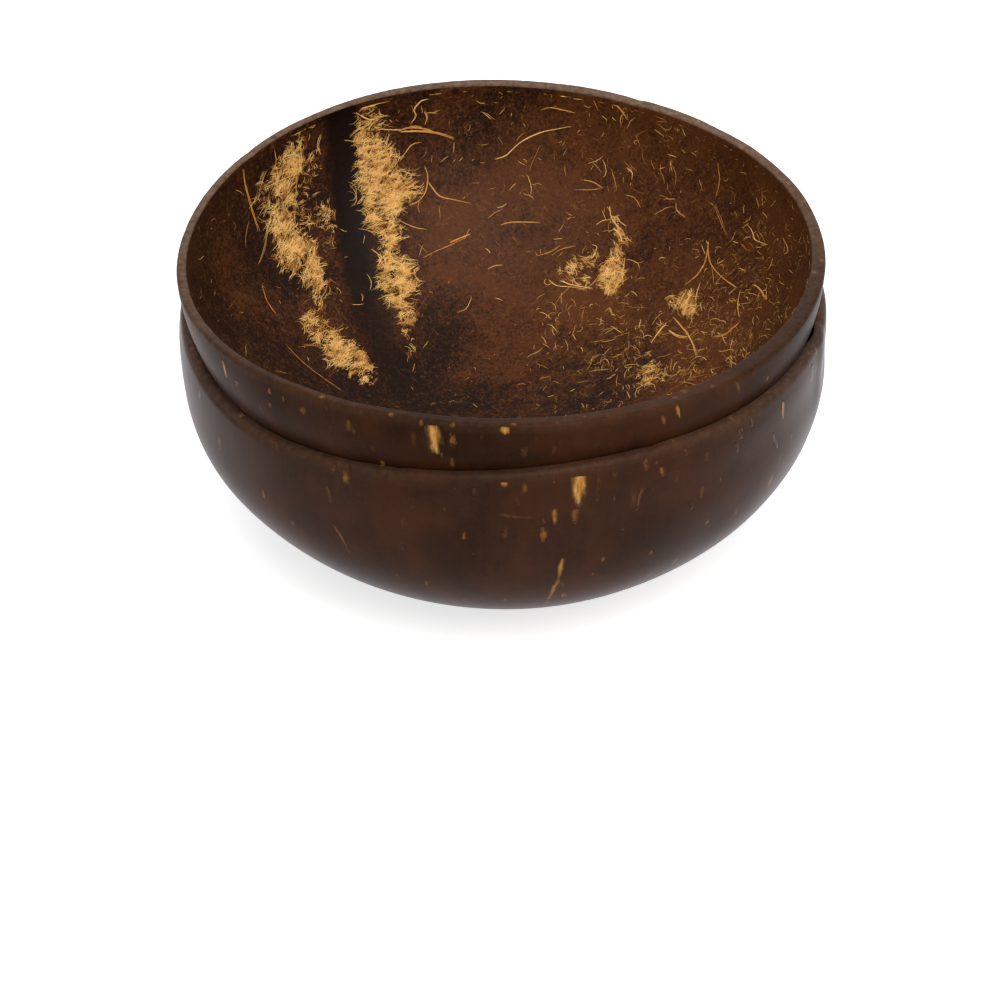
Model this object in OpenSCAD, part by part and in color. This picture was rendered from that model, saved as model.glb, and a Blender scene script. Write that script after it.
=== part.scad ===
// Nested pair of coconut shell bowls.
// Each bowl is one natural shell, cut open, sanded and polished, with a flat sanded foot.
// The upper bowl drops into the lower one until its tapering wall meets the lower rim.
// Lengths are millimetres. The origin is the centre of the lower bowl's foot, with Z up.

/* [Lower bowl] */
// Outer diameter at the belly, its widest ring
lower_belly_d = 136.4; // [120:0.2:156]
// Height of the belly above the foot
lower_belly_h = 40.5; // [34:0.5:50]
// Height of the rim above the belly
lower_rim_rise = 9.7; // [4:0.1:16]
// Diameter of the sanded flat foot
lower_foot_d = 40; // [24:1:60]
// Thickness of the wall from the rim to the belly
lower_wall = 2; // [1.4:0.1:3.4]
// Thickness of the floor above the foot
lower_floor = 3.4; // [2:0.1:5]
// Fullness of the belly curve, where 2 is an ellipse and more is squarer
lower_fullness = 2.6; // [2:0.1:3.2]

/* [Upper bowl] */
// How far the upper rim stands above the lower rim
nest_step = 11.8; // [6:0.1:20]
// Gap between the upper foot and the lower bowl's floor
foot_gap = 8; // [4:0.5:14]
// Fullness of the side curve, where 2 is an ellipse and more is squarer
upper_fullness = 2; // [1.8:0.1:2.6]
// Diameter of the sanded flat foot
upper_foot_d = 40; // [24:1:52]
// Thickness of the wall at the rim
upper_wall = 2.6; // [1.6:0.1:3.6]
// Thickness of the floor above the foot
upper_floor = 3; // [2:0.1:5]

/* [Fit and edges] */
// Radial gap between the upper wall and the lower rim
nest_gap = 0.3; // [0.1:0.05:0.6]
// Radius of the sanded edges of both rims
rim_edge_r = 0.5; // [0.2:0.05:0.6]

/* [Hidden] */

// Straight steps along each shell curve, up the lower bowl's shoulder and round each sanded edge
CURVE_STEPS = 30;
SHOULDER_STEPS = 5;
EDGE_STEPS = 4;
$fn = 180;

polished_brown = [0.25, 0.14, 0.085];
husk_brown = [0.29, 0.17, 0.10];

// Each side curve is a superellipse: at the share x of its radius its height is the share
// oval(x, n) of its half height, and the other way round
function oval(x, n) = pow(1 - pow(abs(x), n), 1 / n);

// Lower shell, centred on the plane of its belly
lower_r = lower_belly_d / 2;
lower_foot_r = lower_foot_d / 2;
lower_half_h = lower_belly_h / oval(lower_foot_r / lower_r, lower_fullness);
lower_h = lower_belly_h + lower_rim_rise;
lower_inner_r = lower_r - lower_wall;
lower_inner_depth = lower_belly_h - lower_floor;
function lower_outer_r(z) = lower_r * oval((z - lower_belly_h) / lower_half_h, lower_fullness);

// Upper shell, widest at its rim, just clear of the lower rim where it sits in it, and with its
// foot above the lower floor
rim_h = lower_h + nest_step;
upper_seat_r = lower_outer_r(lower_h) - lower_wall - nest_gap;
upper_foot_r = upper_foot_d / 2;
upper_foot_h = lower_floor + foot_gap;
upper_h = rim_h - upper_foot_h;

// The radius and the depth of the superellipse that passes through both the seat and the foot's edge
function raised(x) = pow(x, upper_fullness);
seat_and_foot = raised(upper_seat_r) * raised(upper_h) - raised(upper_foot_r) * raised(nest_step);
upper_r = pow(seat_and_foot / (raised(upper_h) - raised(nest_step)), 1 / upper_fullness);
upper_shell_depth = pow(
    seat_and_foot / (raised(upper_seat_r) - raised(upper_foot_r)), 1 / upper_fullness
);
upper_inner_r = upper_r - upper_wall;
upper_inner_depth = upper_h - upper_floor;
function upper_outer_r(z) = upper_r * oval((rim_h - z) / upper_shell_depth, upper_fullness);

// Points of a side curve from its widest ring, at the height z_wide, down and in to the radius r_end
function side_curve(r, depth, z_wide, r_end, n) = [
    for (i = [0 : CURVE_STEPS])
        let (x = cos(i / CURVE_STEPS * acos(r_end / r)))
        [r * x, z_wide - depth * oval(x, n)]
];

// Points of a sanded edge about the centre [x, z], from one angle to another
function edge_arc(x, z, from, to) = [
    for (i = [0 : EDGE_STEPS])
        let (a = from + (to - from) * i / EDGE_STEPS)
        [x + rim_edge_r * cos(a), z + rim_edge_r * sin(a)]
];

// Points of a rim at the height z with both edges rounded, from its inner wall to its outer wall
function rim_points(r_in, r_out, z) = concat(
    edge_arc(r_in + rim_edge_r, z - rim_edge_r, 180, 90),
    edge_arc(r_out - rim_edge_r, z - rim_edge_r, 90, 0)
);

function below(points, z) = [for (p = points) if (p[1] < z) p];
function reversed(points) = [for (i = [len(points) - 1 : -1 : 0]) points[i]];

// Lower bowl: its wall turns in above the belly, up to the rim
module lower_bowl() {
    edge_z = lower_h - rim_edge_r;
    shoulder = [
        for (i = [1 : SHOULDER_STEPS - 1])
            let (z = lower_belly_h + (edge_z - lower_belly_h) * i / SHOULDER_STEPS)
            [lower_outer_r(z), z]
    ];
    inner = side_curve(lower_inner_r, lower_inner_depth, lower_belly_h, 0, lower_fullness);
    outer = side_curve(lower_r, lower_half_h, lower_belly_h, lower_foot_r, lower_fullness);
    color(polished_brown)
        rotate_extrude()
            polygon(concat(
                reversed(inner),
                [for (p = shoulder) [p[0] - lower_wall, p[1]]],
                rim_points(lower_outer_r(edge_z) - lower_wall, lower_outer_r(edge_z), lower_h),
                reversed(shoulder),
                outer,
                [[0, 0]]
            ));
}

// Upper bowl: its wall tapers from the rim down through the lower bowl's rim to its own foot
module upper_bowl() {
    edge_z = rim_h - rim_edge_r;
    inner = side_curve(upper_inner_r, upper_inner_depth, rim_h, 0, upper_fullness);
    outer = side_curve(upper_r, upper_shell_depth, rim_h, upper_foot_r, upper_fullness);
    color(husk_brown)
        rotate_extrude()
            polygon(concat(
                reversed(below(inner, edge_z)),
                rim_points(upper_inner_r, upper_outer_r(edge_z), rim_h),
                below(outer, edge_z),
                [[0, upper_foot_h]]
            ));
}

lower_bowl();
upper_bowl();
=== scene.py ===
from collections import namedtuple
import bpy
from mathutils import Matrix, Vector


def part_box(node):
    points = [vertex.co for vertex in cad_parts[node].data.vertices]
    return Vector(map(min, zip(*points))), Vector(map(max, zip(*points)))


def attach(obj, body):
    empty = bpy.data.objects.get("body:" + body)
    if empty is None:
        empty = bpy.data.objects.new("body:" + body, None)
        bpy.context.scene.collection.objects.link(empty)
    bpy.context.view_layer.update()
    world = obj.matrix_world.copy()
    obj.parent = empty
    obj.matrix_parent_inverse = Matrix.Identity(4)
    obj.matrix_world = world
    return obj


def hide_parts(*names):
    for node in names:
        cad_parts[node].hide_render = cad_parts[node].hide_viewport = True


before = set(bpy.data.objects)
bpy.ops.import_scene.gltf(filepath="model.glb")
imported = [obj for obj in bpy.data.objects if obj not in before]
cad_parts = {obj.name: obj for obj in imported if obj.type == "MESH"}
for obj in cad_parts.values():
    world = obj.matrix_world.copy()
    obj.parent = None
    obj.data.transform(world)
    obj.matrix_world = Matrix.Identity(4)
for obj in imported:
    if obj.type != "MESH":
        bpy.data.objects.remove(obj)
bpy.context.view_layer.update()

from types import SimpleNamespace

import bpy
import numpy as np
from bpy.props import FloatProperty, FloatVectorProperty, IntProperty, PointerProperty
from bpy.types import Operator, Panel, PropertyGroup
from mathutils import Matrix

bl_info = {
    "name": "Coconut Shell Bowls",
    "version": (1, 0, 0),
    "blender": (4, 5, 0),
    "location": "View3D > Sidebar > Coconut Bowls",
    "description": "Builds a nested pair of coconut shell bowls with husk fibres left on the inside",
    "category": "Add Mesh",
}

MM = 0.001
CM_IN_METRE = 100
LOWER_LOW, LOWER_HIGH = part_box("lower_bowl")
UPPER_LOW, UPPER_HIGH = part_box("upper_bowl")

# Cosine and sine waves round a rim, in millimetres, for one, two and three waves a turn.
# Azimuth 0 is the right and minus 90 degrees is the front.
UPPER_ROUNDNESS = ((0.0, 0.4), (-0.2, -0.1), (0.0, -0.3))
UPPER_RIM_WAVE = ((0.1, 0.5), (-0.9, 0.1), (0.6, 0.2))
UPPER_WALL_WAVE = ((0.6, -0.1), (-0.2, -0.2), (-0.2, -0.2))
LOWER_RIM_WAVE = ((0.9, 0.0), (-0.5, -2.2), (0.2, 0.9))

# Power of each side curve, where 2 is an ellipse and more is squarer
UPPER_FULLNESS = 2.0
LOWER_FULLNESS = 2.6

# How far below its rim the lower shell is still drawn in to follow the upper wall
FIT_DEPTH = 26 * MM

# Columns of each shell's mesh round the axis, and its rows along each stretch of the section. The
# foot's rings lie at shares of its radius.
COLUMNS = 480
AZIMUTHS = 2 * np.pi * np.arange(COLUMNS) / COLUMNS - np.pi
FOOT_SHARES = np.r_[np.linspace(0.06, 0.9, 7), 0.96, 0.99]
SIDE_ROWS = 54
EDGE_ROWS = 5
RIM_ROWS = 6
INSIDE_ROWS = 130
PROFILE_STEPS = 4000

# Share of the foot's rounding by which its last ring and the first ring of the side are raised
FOOT_RING_RISE = 0.08
SIDE_RING_RISE = 0.3

# The upper rim is palest at this azimuth: a painted highlight, as if lit from behind
RIM_HIGHLIGHT_AZIMUTH = np.radians(100)

# Nicks in each sanded rim: their number, half width in degrees, least and greatest depth in millimetres
NICKS = 9
NICK_WIDTH = 1.1
NICK_DEPTH = (0.08, 0.28)

# The nicks fade out down the upper bowl's inside with this power of the fall's cosine
NICK_FADE = 40

# Seeds of the fixed unevenness of each surface and pattern
SEEDS = SimpleNamespace(
    upper_wall=3, lower_wall=5, inside_swell=9, inside_grain=11, broad_tufts=13, fine_tufts=17,
    hair_places=21, warmth_and_painted_shade=23, band_shade=29, upper_rim=31, hair_headings=41, lower_rim=47)

# Strands in one combed tuft of felt, steps along a strand or a hair, and points along a long strand
TUFT_STRANDS = 4
STRAND_STEPS = 6
LONG_STRAND_POINTS = 15

# Points along each path of the picture, to measure from and to start tufts at
PATH_POINTS = 48
START_POINTS = 60

# Felt reaches this share of a path's half width. The picture shows the sloping inside shorter than
# it is, so that a band's true area is larger by the second share.
FELT_REACH = 1.3
FELT_SLOPE = 1.6

# Paths of at least this half width, in pixels, have strands of full length
FULL_HALF_WIDTH = 12

# No strand goes nearer to the rim than this, in degrees of fall
STRAND_TOP = 2.0

# A strand's height as a share of its width
STRAND_FLATNESS = 0.26

# Flecks: points along each and sides round it, random ones on each bowl's back, and each fleck's
# thickness and how deep its middle lies
FLECK_POINTS = 9
FLECK_SIDES = 12
RANDOM_FLECKS = 60
FLECK_THICKNESS = 0.08 * MM
FLECK_SINK = 0.022 * MM
FLECK_SEED = 60

# Specular level and sheen of each polished outside: the lower bowl is shinier
LOWER_GLOSS = (0.050, 0.24)
UPPER_GLOSS = (0.022, 0.04)

# Roughness of the polish, and the distance and strength of its bump
POLISH_ROUGHNESS = 0.34
POLISH_BUMP = (0.0001, 0.35)

# Places are pixels of the photograph, which is 1000 pixels wide and high
PHOTO_SIZE = 1000
PHOTO_MIDDLE = PHOTO_SIZE / 2
SENSOR_MM = 36

# The lamps face this point
LAMP_TARGET = (0, 0, 0.04)

# Inputs and output of a Mix node that blends colours: share, first, second, and the result
MIX_COLOUR_INPUTS = (0, 6, 7)
MIX_COLOUR_OUTPUT = 2

# Distances from the camera at which each pixel's ray is tried
RAY_WALK = np.linspace(0.46, 0.74, 1400)

# Felt bands on the inside: x, y, half width in pixels, density, heading in degrees of their strands
LEFT_BAND = (
    (301, 122, 3, 0.3, 75),
    (301, 140, 6, 0.5, 75),
    (298, 158, 9, 0.95, 70),
    (290, 174, 12, 0.72, 65),
    (281, 190, 17, 0.58, 60),
    (277, 207, 15, 0.62, 68),
    (280, 224, 13, 0.56, 70),
    (287, 237, 12, 0.56, 60),
    (293, 247, 14, 1.1, 55),
    (293, 259, 11, 1.3, 60),
    (291, 270, 6, 0.8, 60),
)
LEFT_LEG = (
    (306, 246, 9, 0.9, 70),
    (313, 260, 7, 1.3, 80),
    (315, 276, 8, 1.2, 80),
    (318, 290, 8, 0.7, 60),
    (324, 302, 6, 0.5, 60),
)
LEFT_CURLS = (
    (312, 146, 9, 0.22, 70),
    (319, 170, 9, 0.22, 60),
    (312, 188, 9, 0.20, 50),
    (306, 205, 7, 0.22, 20),
    (313, 222, 11, 0.25, 30),
    (326, 212, 7, 0.55, 75),
    (330, 232, 6, 0.45, 80),
    (333, 250, 4, 0.25, 80),
)
LEFT_TRAIL = (
    (310, 312, 9, 0.40, 80),
    (319, 328, 10, 0.50, 30),
    (331, 342, 11, 0.8, 20),
    (346, 356, 13, 1.3, 30),
    (361, 367, 10, 1.2, 30),
    (372, 378, 7, 0.7, 20),
)
RIGHT_BAND = (
    (372, 105, 6, 0.35, 40),
    (372, 121, 9, 0.35, -10),
    (370, 142, 12, 0.80, 50),
    (376, 160, 16, 1.0, 55),
    (382, 180, 20, 1.2, 50),
    (384, 200, 19, 1.1, 30),
    (387, 220, 14, 0.85, 10),
    (394, 240, 9, 0.6, 20),
    (390, 256, 8, 0.5, 20),
    (396, 270, 13, 0.9, 10),
    (399, 283, 16, 1.1, 10),
    (407, 300, 13, 1.0, 10),
    (410, 314, 9, 0.6, 10),
    (404, 332, 6, 0.45, -40),
    (411, 346, 7, 0.45, -50),
)
RIGHT_LOBE = (
    (398, 188, 10, 0.9, 25),
    (410, 194, 11, 0.75, 10),
    (419, 194, 7, 0.6, 10),
)
MIDDLE_PATCH = (
    (609, 211, 3, 0.40, -60),
    (614, 221, 4, 0.55, -60),
    (620, 233, 5, 0.70, -75),
    (620, 243, 4, 0.65, -80),
    (618, 252, 5, 0.85, -70),
    (616, 262, 6, 1.0, -70),
    (612, 274, 11, 1.8, 60),
    (608, 283, 11, 1.8, 40),
)
MIDDLE_WISPS = (
    (597, 254, 7, 0.36, 50),
    (585, 266, 10, 0.42, -25),
    (572, 264, 8, 0.34, -20),
    (569, 277, 8, 0.40, -25),
    (584, 283, 8, 0.50, -15),
)
RIGHT_PATCH = (
    (689, 294, 5, 1.3, 70),
    (687, 303, 9, 1.9, 60),
    (690, 313, 6, 1.4, 60),
)
SMALL_PATCH = (
    (669, 300, 4, 0.8, 0),
    (675, 298, 3, 0.7, 20),
)
LOW_PATCH = (
    (640, 374, 6, 0.3, 10),
    (650, 374, 11, 0.6, 30),
    (664, 374, 6, 0.4, 60),
)
LOW_DOT = (
    (651, 358, 4, 0.8, 60),
    (654, 362, 3, 0.6, 60),
)
BANDS = {
    "left_fibre_band": (LEFT_BAND, LEFT_LEG, LEFT_CURLS, LEFT_TRAIL),
    "right_fibre_band": (RIGHT_BAND, RIGHT_LOBE),
    "fibre_patches": (MIDDLE_PATCH, MIDDLE_WISPS, RIGHT_PATCH, SMALL_PATCH, LOW_PATCH, LOW_DOT),
}

# Places where the loose hairs gather: x, y, half width and half height in pixels, density
HAIR_CLUSTERS = (
    (690, 350, 75, 42, 0.85),
    (745, 280, 45, 60, 0.60),
    (585, 315, 40, 22, 0.55),
    (650, 140, 70, 35, 0.22),
    (445, 115, 45, 20, 0.20),
    (328, 290, 22, 40, 0.45),
    (600, 370, 60, 25, 0.35),
    (560, 190, 90, 60, 0.07),
)

# The dark groove between the two bands: x, y, half width in pixels and depth share
GROOVE = (
    (340, 112, 15, 1.0),
    (343, 150, 14, 1.0),
    (347, 190, 14, 1.0),
    (352, 230, 14, 0.95),
    (358, 265, 15, 0.85),
    (366, 300, 17, 0.7),
    (380, 340, 18, 0.55),
    (400, 375, 18, 0.4),
    (425, 402, 16, 0.2),
)

# Long single strands on the inside: width in tenths of a millimetre, tone, then points in pixels
LONG_STRANDS = (
    (4, 0.35, (245, 165), (248, 186), (254, 210), (261, 232)),
    (2, 0.50, (270, 232), (266, 250), (261, 264)),
    (2, 0.45, (264, 283), (269, 300), (278, 313)),
    (2, 0.30, (287, 343), (304, 362), (324, 378), (344, 391)),
    (3, 0.80, (495, 164), (506, 160), (517, 149), (530, 141), (546, 135), (580, 128)),
    (3, 0.65, (429, 187), (434, 194), (441, 201), (455, 204), (470, 207)),
    (2, 0.50, (424, 261), (436, 255), (450, 249), (468, 240)),
    (4, 0.55, (450, 246), (460, 242), (470, 238)),
    (5, 0.55, (709, 242), (707, 256), (703, 268)),
    (3, 0.60, (709, 242), (710, 258), (716, 269), (728, 280), (738, 287)),
    (3, 0.50, (706, 262), (699, 274), (686, 284)),
    (3, 0.70, (701, 282), (698, 294), (697, 302)),
    (4, 0.85, (667, 322), (659, 332), (651, 343)),
    (3, 0.75, (673, 316), (681, 325), (688, 333), (694, 345), (697, 356)),
    (4, 0.70, (669, 330), (678, 336), (688, 337)),
    (4, 0.60, (714, 337), (726, 335), (734, 329), (740, 322)),
    (4, 0.45, (741, 290), (739, 304), (740, 318)),
    (3, 0.75, (748, 225), (753, 232), (756, 240), (768, 245)),
    (3, 0.60, (784, 238), (788, 244), (790, 251), (786, 254)),
    (3, 0.70, (755, 284), (762, 290), (767, 299)),
    (2, 0.55, (718, 163), (720, 180), (716, 198)),
    (2, 0.50, (716, 206), (722, 220), (728, 236)),
    (2, 0.65, (676, 203), (678, 211), (686, 218)),
    (2, 0.80, (625, 196), (634, 199), (640, 208)),
    (3, 0.70, (626, 169), (632, 174), (631, 181)),
    (3, 0.60, (612, 103), (620, 112), (628, 123)),
    (2, 0.60, (540, 115), (550, 112), (562, 114), (575, 117)),
    (2, 0.50, (580, 182), (592, 184), (602, 190)),
    (2, 0.55, (575, 192), (590, 192), (601, 190)),
    (2, 0.50, (487, 222), (495, 216), (502, 212)),
    (2, 0.65, (500, 228), (513, 225), (540, 225)),
    (2, 0.50, (536, 258), (550, 254), (561, 247)),
    (2, 0.60, (551, 257), (562, 251), (576, 247)),
    (2, 0.60, (488, 271), (495, 268), (503, 267)),
    (2, 0.80, (548, 281), (556, 287), (570, 288), (592, 290)),
    (2, 0.60, (600, 275), (588, 288), (575, 290)),
    (3, 0.70, (383, 100), (375, 107), (368, 113)),
    (3, 0.60, (391, 98), (385, 107), (383, 111)),
    (3, 0.75, (348, 147), (360, 149), (372, 154)),
    (3, 0.60, (401, 168), (408, 158), (414, 151), (422, 149)),
    (2, 0.70, (426, 172), (429, 182), (427, 196), (420, 206), (411, 210)),
    (2, 0.60, (421, 206), (419, 212), (421, 217)),
    (2, 0.60, (397, 222), (407, 228), (418, 232), (428, 233)),
    (2, 0.60, (361, 232), (371, 234), (376, 238)),
    (2, 0.70, (373, 252), (380, 258), (386, 262)),
    (3, 0.75, (412, 131), (417, 122), (415, 116), (422, 108), (430, 106)),
    (3, 0.65, (426, 132), (428, 124), (426, 118)),
    (2, 0.55, (311, 133), (314, 127), (318, 121)),
    (3, 0.70, (323, 160), (320, 150), (324, 140)),
    (3, 0.90, (609, 207), (611, 218), (616, 226), (623, 232)),
    (3, 0.85, (617, 218), (621, 224), (626, 228)),
    (2, 0.80, (596, 226), (602, 222), (611, 220)),
    (3, 0.90, (608, 233), (615, 231), (620, 236), (622, 243)),
    (3, 0.85, (613, 242), (616, 250), (618, 258), (617, 266)),
    (2, 0.85, (625, 258), (624, 270), (623, 286)),
    (3, 0.85, (559, 281), (570, 285), (582, 287), (592, 288)),
    (2, 0.75, (594, 256), (597, 249), (592, 246)),
    (3, 0.85, (358, 120), (364, 124), (372, 127), (384, 124)),
    (3, 0.75, (361, 120), (366, 115), (374, 114)),
    (2, 0.75, (366, 108), (373, 105), (378, 101)),
    (2, 0.65, (301, 105), (301, 122), (301, 142), (299, 170)),
    (2, 0.60, (300, 160), (299, 180), (298, 200), (296, 226)),
    (2, 0.60, (277, 152), (278, 166), (272, 178)),
    (2, 0.70, (266, 190), (280, 184), (296, 178), (306, 172)),
    (2, 0.70, (268, 200), (276, 206), (286, 204), (298, 196)),
    (3, 0.75, (360, 208), (368, 200), (378, 199), (392, 205)),
    (3, 0.70, (388, 186), (396, 180), (404, 182), (412, 178)),
)
# The thick tuft to the right of the right band's top, strand by strand
GOLDEN_TUFT = (
    (2, 0.60, (382, 136), (392, 137), (403, 137)),
    (2, 0.50, (400, 138), (410, 135), (420, 135), (434, 138)),
    (3, 0.60, (402, 139), (412, 138), (424, 138), (436, 140)),
    (2, 0.55, (416, 138), (432, 139), (443, 141), (455, 145)),
    (1, 0.45, (406, 136), (414, 133), (423, 134)),
)

# Streaks and dots in the polished outsides: width in tenths of a millimetre, tone, start, end
UPPER_FLECKS = (
    (44, 0.95, (431, 410), (436, 457)),
    (20, 0.30, (412, 432), (413, 450)),
    (30, 0.90, (505, 414), (506, 430)),
    (18, 0.90, (221, 358), (228, 378)),
    (20, 0.40, (348, 419), (349, 433)),
    (14, 0.30, (371, 445), (372, 456)),
    (16, 0.45, (452, 458), (452, 468)),
    (14, 0.30, (325, 404), (326, 413)),
    (16, 0.45, (300, 407), (302, 416)),
    (15, 0.50, (268, 388), (271, 395)),
    (15, 0.45, (269, 402), (271, 408)),
    (14, 0.50, (662, 414), (664, 426)),
    (13, 0.70, (677, 403), (681, 420)),
    (14, 0.45, (735, 379), (739, 391)),
    (14, 0.30, (751, 369), (753, 377)),
    (16, 0.50, (191, 328), (194, 337)),
    (15, 0.45, (236, 380), (237, 386)),
    (16, 0.20, (536, 438), (537, 446)),
    (14, 0.20, (560, 440), (561, 449)),
    (14, 0.20, (596, 444), (597, 452)),
    (12, 0.15, (610, 443), (611, 450)),
    (12, 0.25, (480, 436), (481, 443)),
    (12, 0.20, (392, 437), (393, 446)),
    (12, 0.20, (330, 424), (332, 432)),
    (12, 0.20, (630, 430), (632, 438)),
)
LOWER_FLECKS = (
    (40, 0.95, (579, 458), (580, 505)),
    (16, 0.30, (598, 474), (598, 500)),
    (16, 0.70, (557, 506), (558, 524)),
    (20, 0.45, (578, 506), (578, 522)),
    (12, 0.45, (644, 484), (638, 510)),
    (15, 0.50, (660, 465), (662, 475)),
    (28, 0.80, (503, 464), (505, 483)),
    (16, 0.30, (474, 488), (476, 497)),
    (13, 0.25, (518, 496), (520, 504)),
    (12, 0.35, (497, 514), (538, 517)),
    (16, 0.70, (563, 555), (556, 580)),
    (15, 0.65, (559, 574), (539, 601)),
    (15, 0.35, (269, 439), (273, 450)),
    (16, 0.45, (329, 462), (332, 476)),
    (16, 0.25, (344, 468), (348, 481)),
    (14, 0.45, (326, 488), (330, 505)),
    (11, 0.50, (331, 524), (350, 552)),
    (15, 0.95, (781, 399), (783, 419)),
    (12, 0.45, (773, 432), (777, 447)),
    (14, 0.35, (735, 426), (739, 438)),
    (12, 0.30, (733, 441), (737, 450)),
    (14, 0.35, (682, 443), (684, 454)),
    (12, 0.30, (704, 449), (706, 460)),
    (12, 0.40, (746, 412), (750, 424)),
    (18, 0.35, (811, 364), (812, 379)),
    (20, 0.60, (822, 335), (824, 350)),
    (12, 0.20, (437, 480), (438, 488)),
    (14, 0.15, (455, 482), (457, 491)),
    (15, 0.15, (414, 498), (416, 508)),
    (15, 0.15, (620, 518), (622, 528)),
    (12, 0.20, (400, 540), (403, 549)),
    (12, 0.20, (690, 500), (692, 508)),
    (12, 0.15, (470, 545), (472, 553)),
)


class BowlSizes(PropertyGroup):
    """Sizes of both shells and of the fit between them"""
    belly_height: FloatProperty(
        name="Belly Height", description="Height of the lower bowl's widest ring above its foot",
        default=0.0405, unit="LENGTH")
    foot_diameter: FloatProperty(
        name="Foot Diameter", description="Diameter of both sanded flat feet",
        default=0.040, unit="LENGTH")
    lower_wall: FloatProperty(
        name="Lower Wall", description="Thickness of the lower bowl's wall",
        default=0.0020, unit="LENGTH")
    upper_wall: FloatProperty(
        name="Upper Wall", description="Thickness of the upper bowl's wall at its rim",
        default=0.0026, unit="LENGTH")
    lower_floor: FloatProperty(
        name="Lower Floor", description="Thickness of the lower bowl's floor",
        default=0.0034, unit="LENGTH")
    upper_floor: FloatProperty(
        name="Upper Floor", description="Thickness of the upper bowl's floor",
        default=0.0030, unit="LENGTH")
    edge_radius: FloatProperty(
        name="Outer Edge", description="Radius of the worn outer edge of the upper rim",
        default=0.0008, unit="LENGTH")
    lower_edge: FloatProperty(
        name="Lower Outer Edge", description="Radius of the rounder outer edge of the lower rim",
        default=0.0016, unit="LENGTH")
    lower_inner_edge: FloatProperty(
        name="Lower Inner Edge", description="Radius of the crisp inner edge of the lower rim",
        default=0.00015, unit="LENGTH")
    inner_edge: FloatProperty(
        name="Inner Edge", description="Radius of the inner edge of the upper rim",
        default=0.0004, unit="LENGTH")
    foot_edge: FloatProperty(
        name="Foot Edge", description="How far the edge of each flat foot is rounded",
        default=0.0006, unit="LENGTH")
    seat_gap: FloatProperty(
        name="Seat Gap", description="Gap between the upper wall and the lower rim where they sit closest",
        default=0.00007, unit="LENGTH")
    slot_gap: FloatProperty(
        name="Slot Gap", description="Extra gap at the front right, where the lower rim stands off",
        default=0.0005, unit="LENGTH")
    slot_azimuth: FloatProperty(
        name="Slot Azimuth", description="Where the lower rim stands off the upper wall",
        default=np.radians(-17), subtype="ANGLE")
    slot_width: FloatProperty(
        name="Slot Width", description="Half the angle over which the lower rim stands off",
        default=np.radians(2.6), subtype="ANGLE")


class ShellLook(PropertyGroup):
    """Colours of both shells"""
    dark: FloatVectorProperty(
        name="Dark Shell", description="Darkest brown of the polished outside",
        default=(0.015, 0.0056, 0.0023), subtype="COLOR")
    warm: FloatVectorProperty(
        name="Warm Shell", description="Warm brown of the polished outside",
        default=(0.050, 0.0180, 0.0070), subtype="COLOR")
    red: FloatVectorProperty(
        name="Reddish Shell", description="Reddish brown of some patches of the outside",
        default=(0.072, 0.020, 0.0065), subtype="COLOR")
    inside_dark: FloatVectorProperty(
        name="Dark Inside", description="Darkest brown of the inside",
        default=(0.012, 0.0036, 0.0016), subtype="COLOR")
    inside_warm: FloatVectorProperty(
        name="Warm Inside", description="Warm brown of the inside",
        default=(0.097, 0.0292, 0.0086), subtype="COLOR")
    rim: FloatVectorProperty(
        name="Cut Rim", description="Greyish brown of the sanded rims",
        default=(0.230, 0.148, 0.104), subtype="COLOR")
    groove: FloatVectorProperty(
        name="Groove", description="Near black of the groove on the inside",
        default=(0.0060, 0.0020, 0.0010), subtype="COLOR")


class FibreLook(PropertyGroup):
    """Colours and numbers of the husk fibres"""
    straw: FloatVectorProperty(
        name="Straw", description="Palest tone of the husk fibres",
        default=(1.0, 0.63, 0.21), subtype="COLOR")
    gold: FloatVectorProperty(
        name="Gold", description="Middle tone of the husk fibres",
        default=(0.80, 0.355, 0.072), subtype="COLOR")
    rust: FloatVectorProperty(
        name="Rust", description="Darkest tone of the husk fibres",
        default=(0.32, 0.110, 0.022), subtype="COLOR")
    band_count: IntProperty(
        name="Band Strands", description="Strands for each square centimetre of a dense band",
        default=950, min=1)
    fine_count: IntProperty(
        name="Fine Hairs", description="Short fine hairs on the inside of the upper bowl",
        default=1400, min=1)
    loose_count: IntProperty(
        name="Loose Hairs", description="Longer loose hairs on the inside of the upper bowl",
        default=760, min=1)
    seed: IntProperty(
        name="Seed", description="Seed of the fibres' places", default=7)


class StageLook(PropertyGroup):
    """Camera, light and floor"""
    distance: FloatProperty(
        name="Camera Distance", description="From the camera to the middle of the upper rim",
        default=0.600, unit="LENGTH")
    elevation: FloatProperty(
        name="Camera Elevation", description="Angle of the view above the table",
        default=np.radians(31.63), subtype="ANGLE")
    roll: FloatProperty(
        name="Camera Roll", description="Turn of the camera about its own view",
        default=np.radians(-0.6), subtype="ANGLE")
    lens: FloatProperty(
        name="Lens", description="Focal length in millimetres on a 36 mm sensor", default=104.36)
    rim_pixel: FloatVectorProperty(
        name="Rim Pixel", description="Pixel of the photograph at the middle of the upper rim",
        size=2, default=(503.2, 242.0))
    room_light: FloatProperty(
        name="Room Light", description="Strength of the even light all round", default=0.40)
    floor_glow: FloatProperty(
        name="Floor Glow", description="Light added to the floor where it is seen directly", default=0.68)
    floor_radius: FloatProperty(
        name="Floor Radius", description="Radius of the pale floor", default=1.6, unit="LENGTH")


# The scene's groups of settings, in the order in which the panel shows them
Settings = namedtuple("Settings", "sizes shell fibre stage")


def around(azimuth, waves):
    """Sum of cosine and sine waves round the axis, one pair for each whole number of waves a turn."""
    turns = np.arange(1, len(waves) + 1)
    cosines, sines = np.array(waves).T * MM
    angle = np.asarray(azimuth)[..., None] * turns
    return (np.cos(angle) * cosines + np.sin(angle) * sines).sum(-1)


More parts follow.
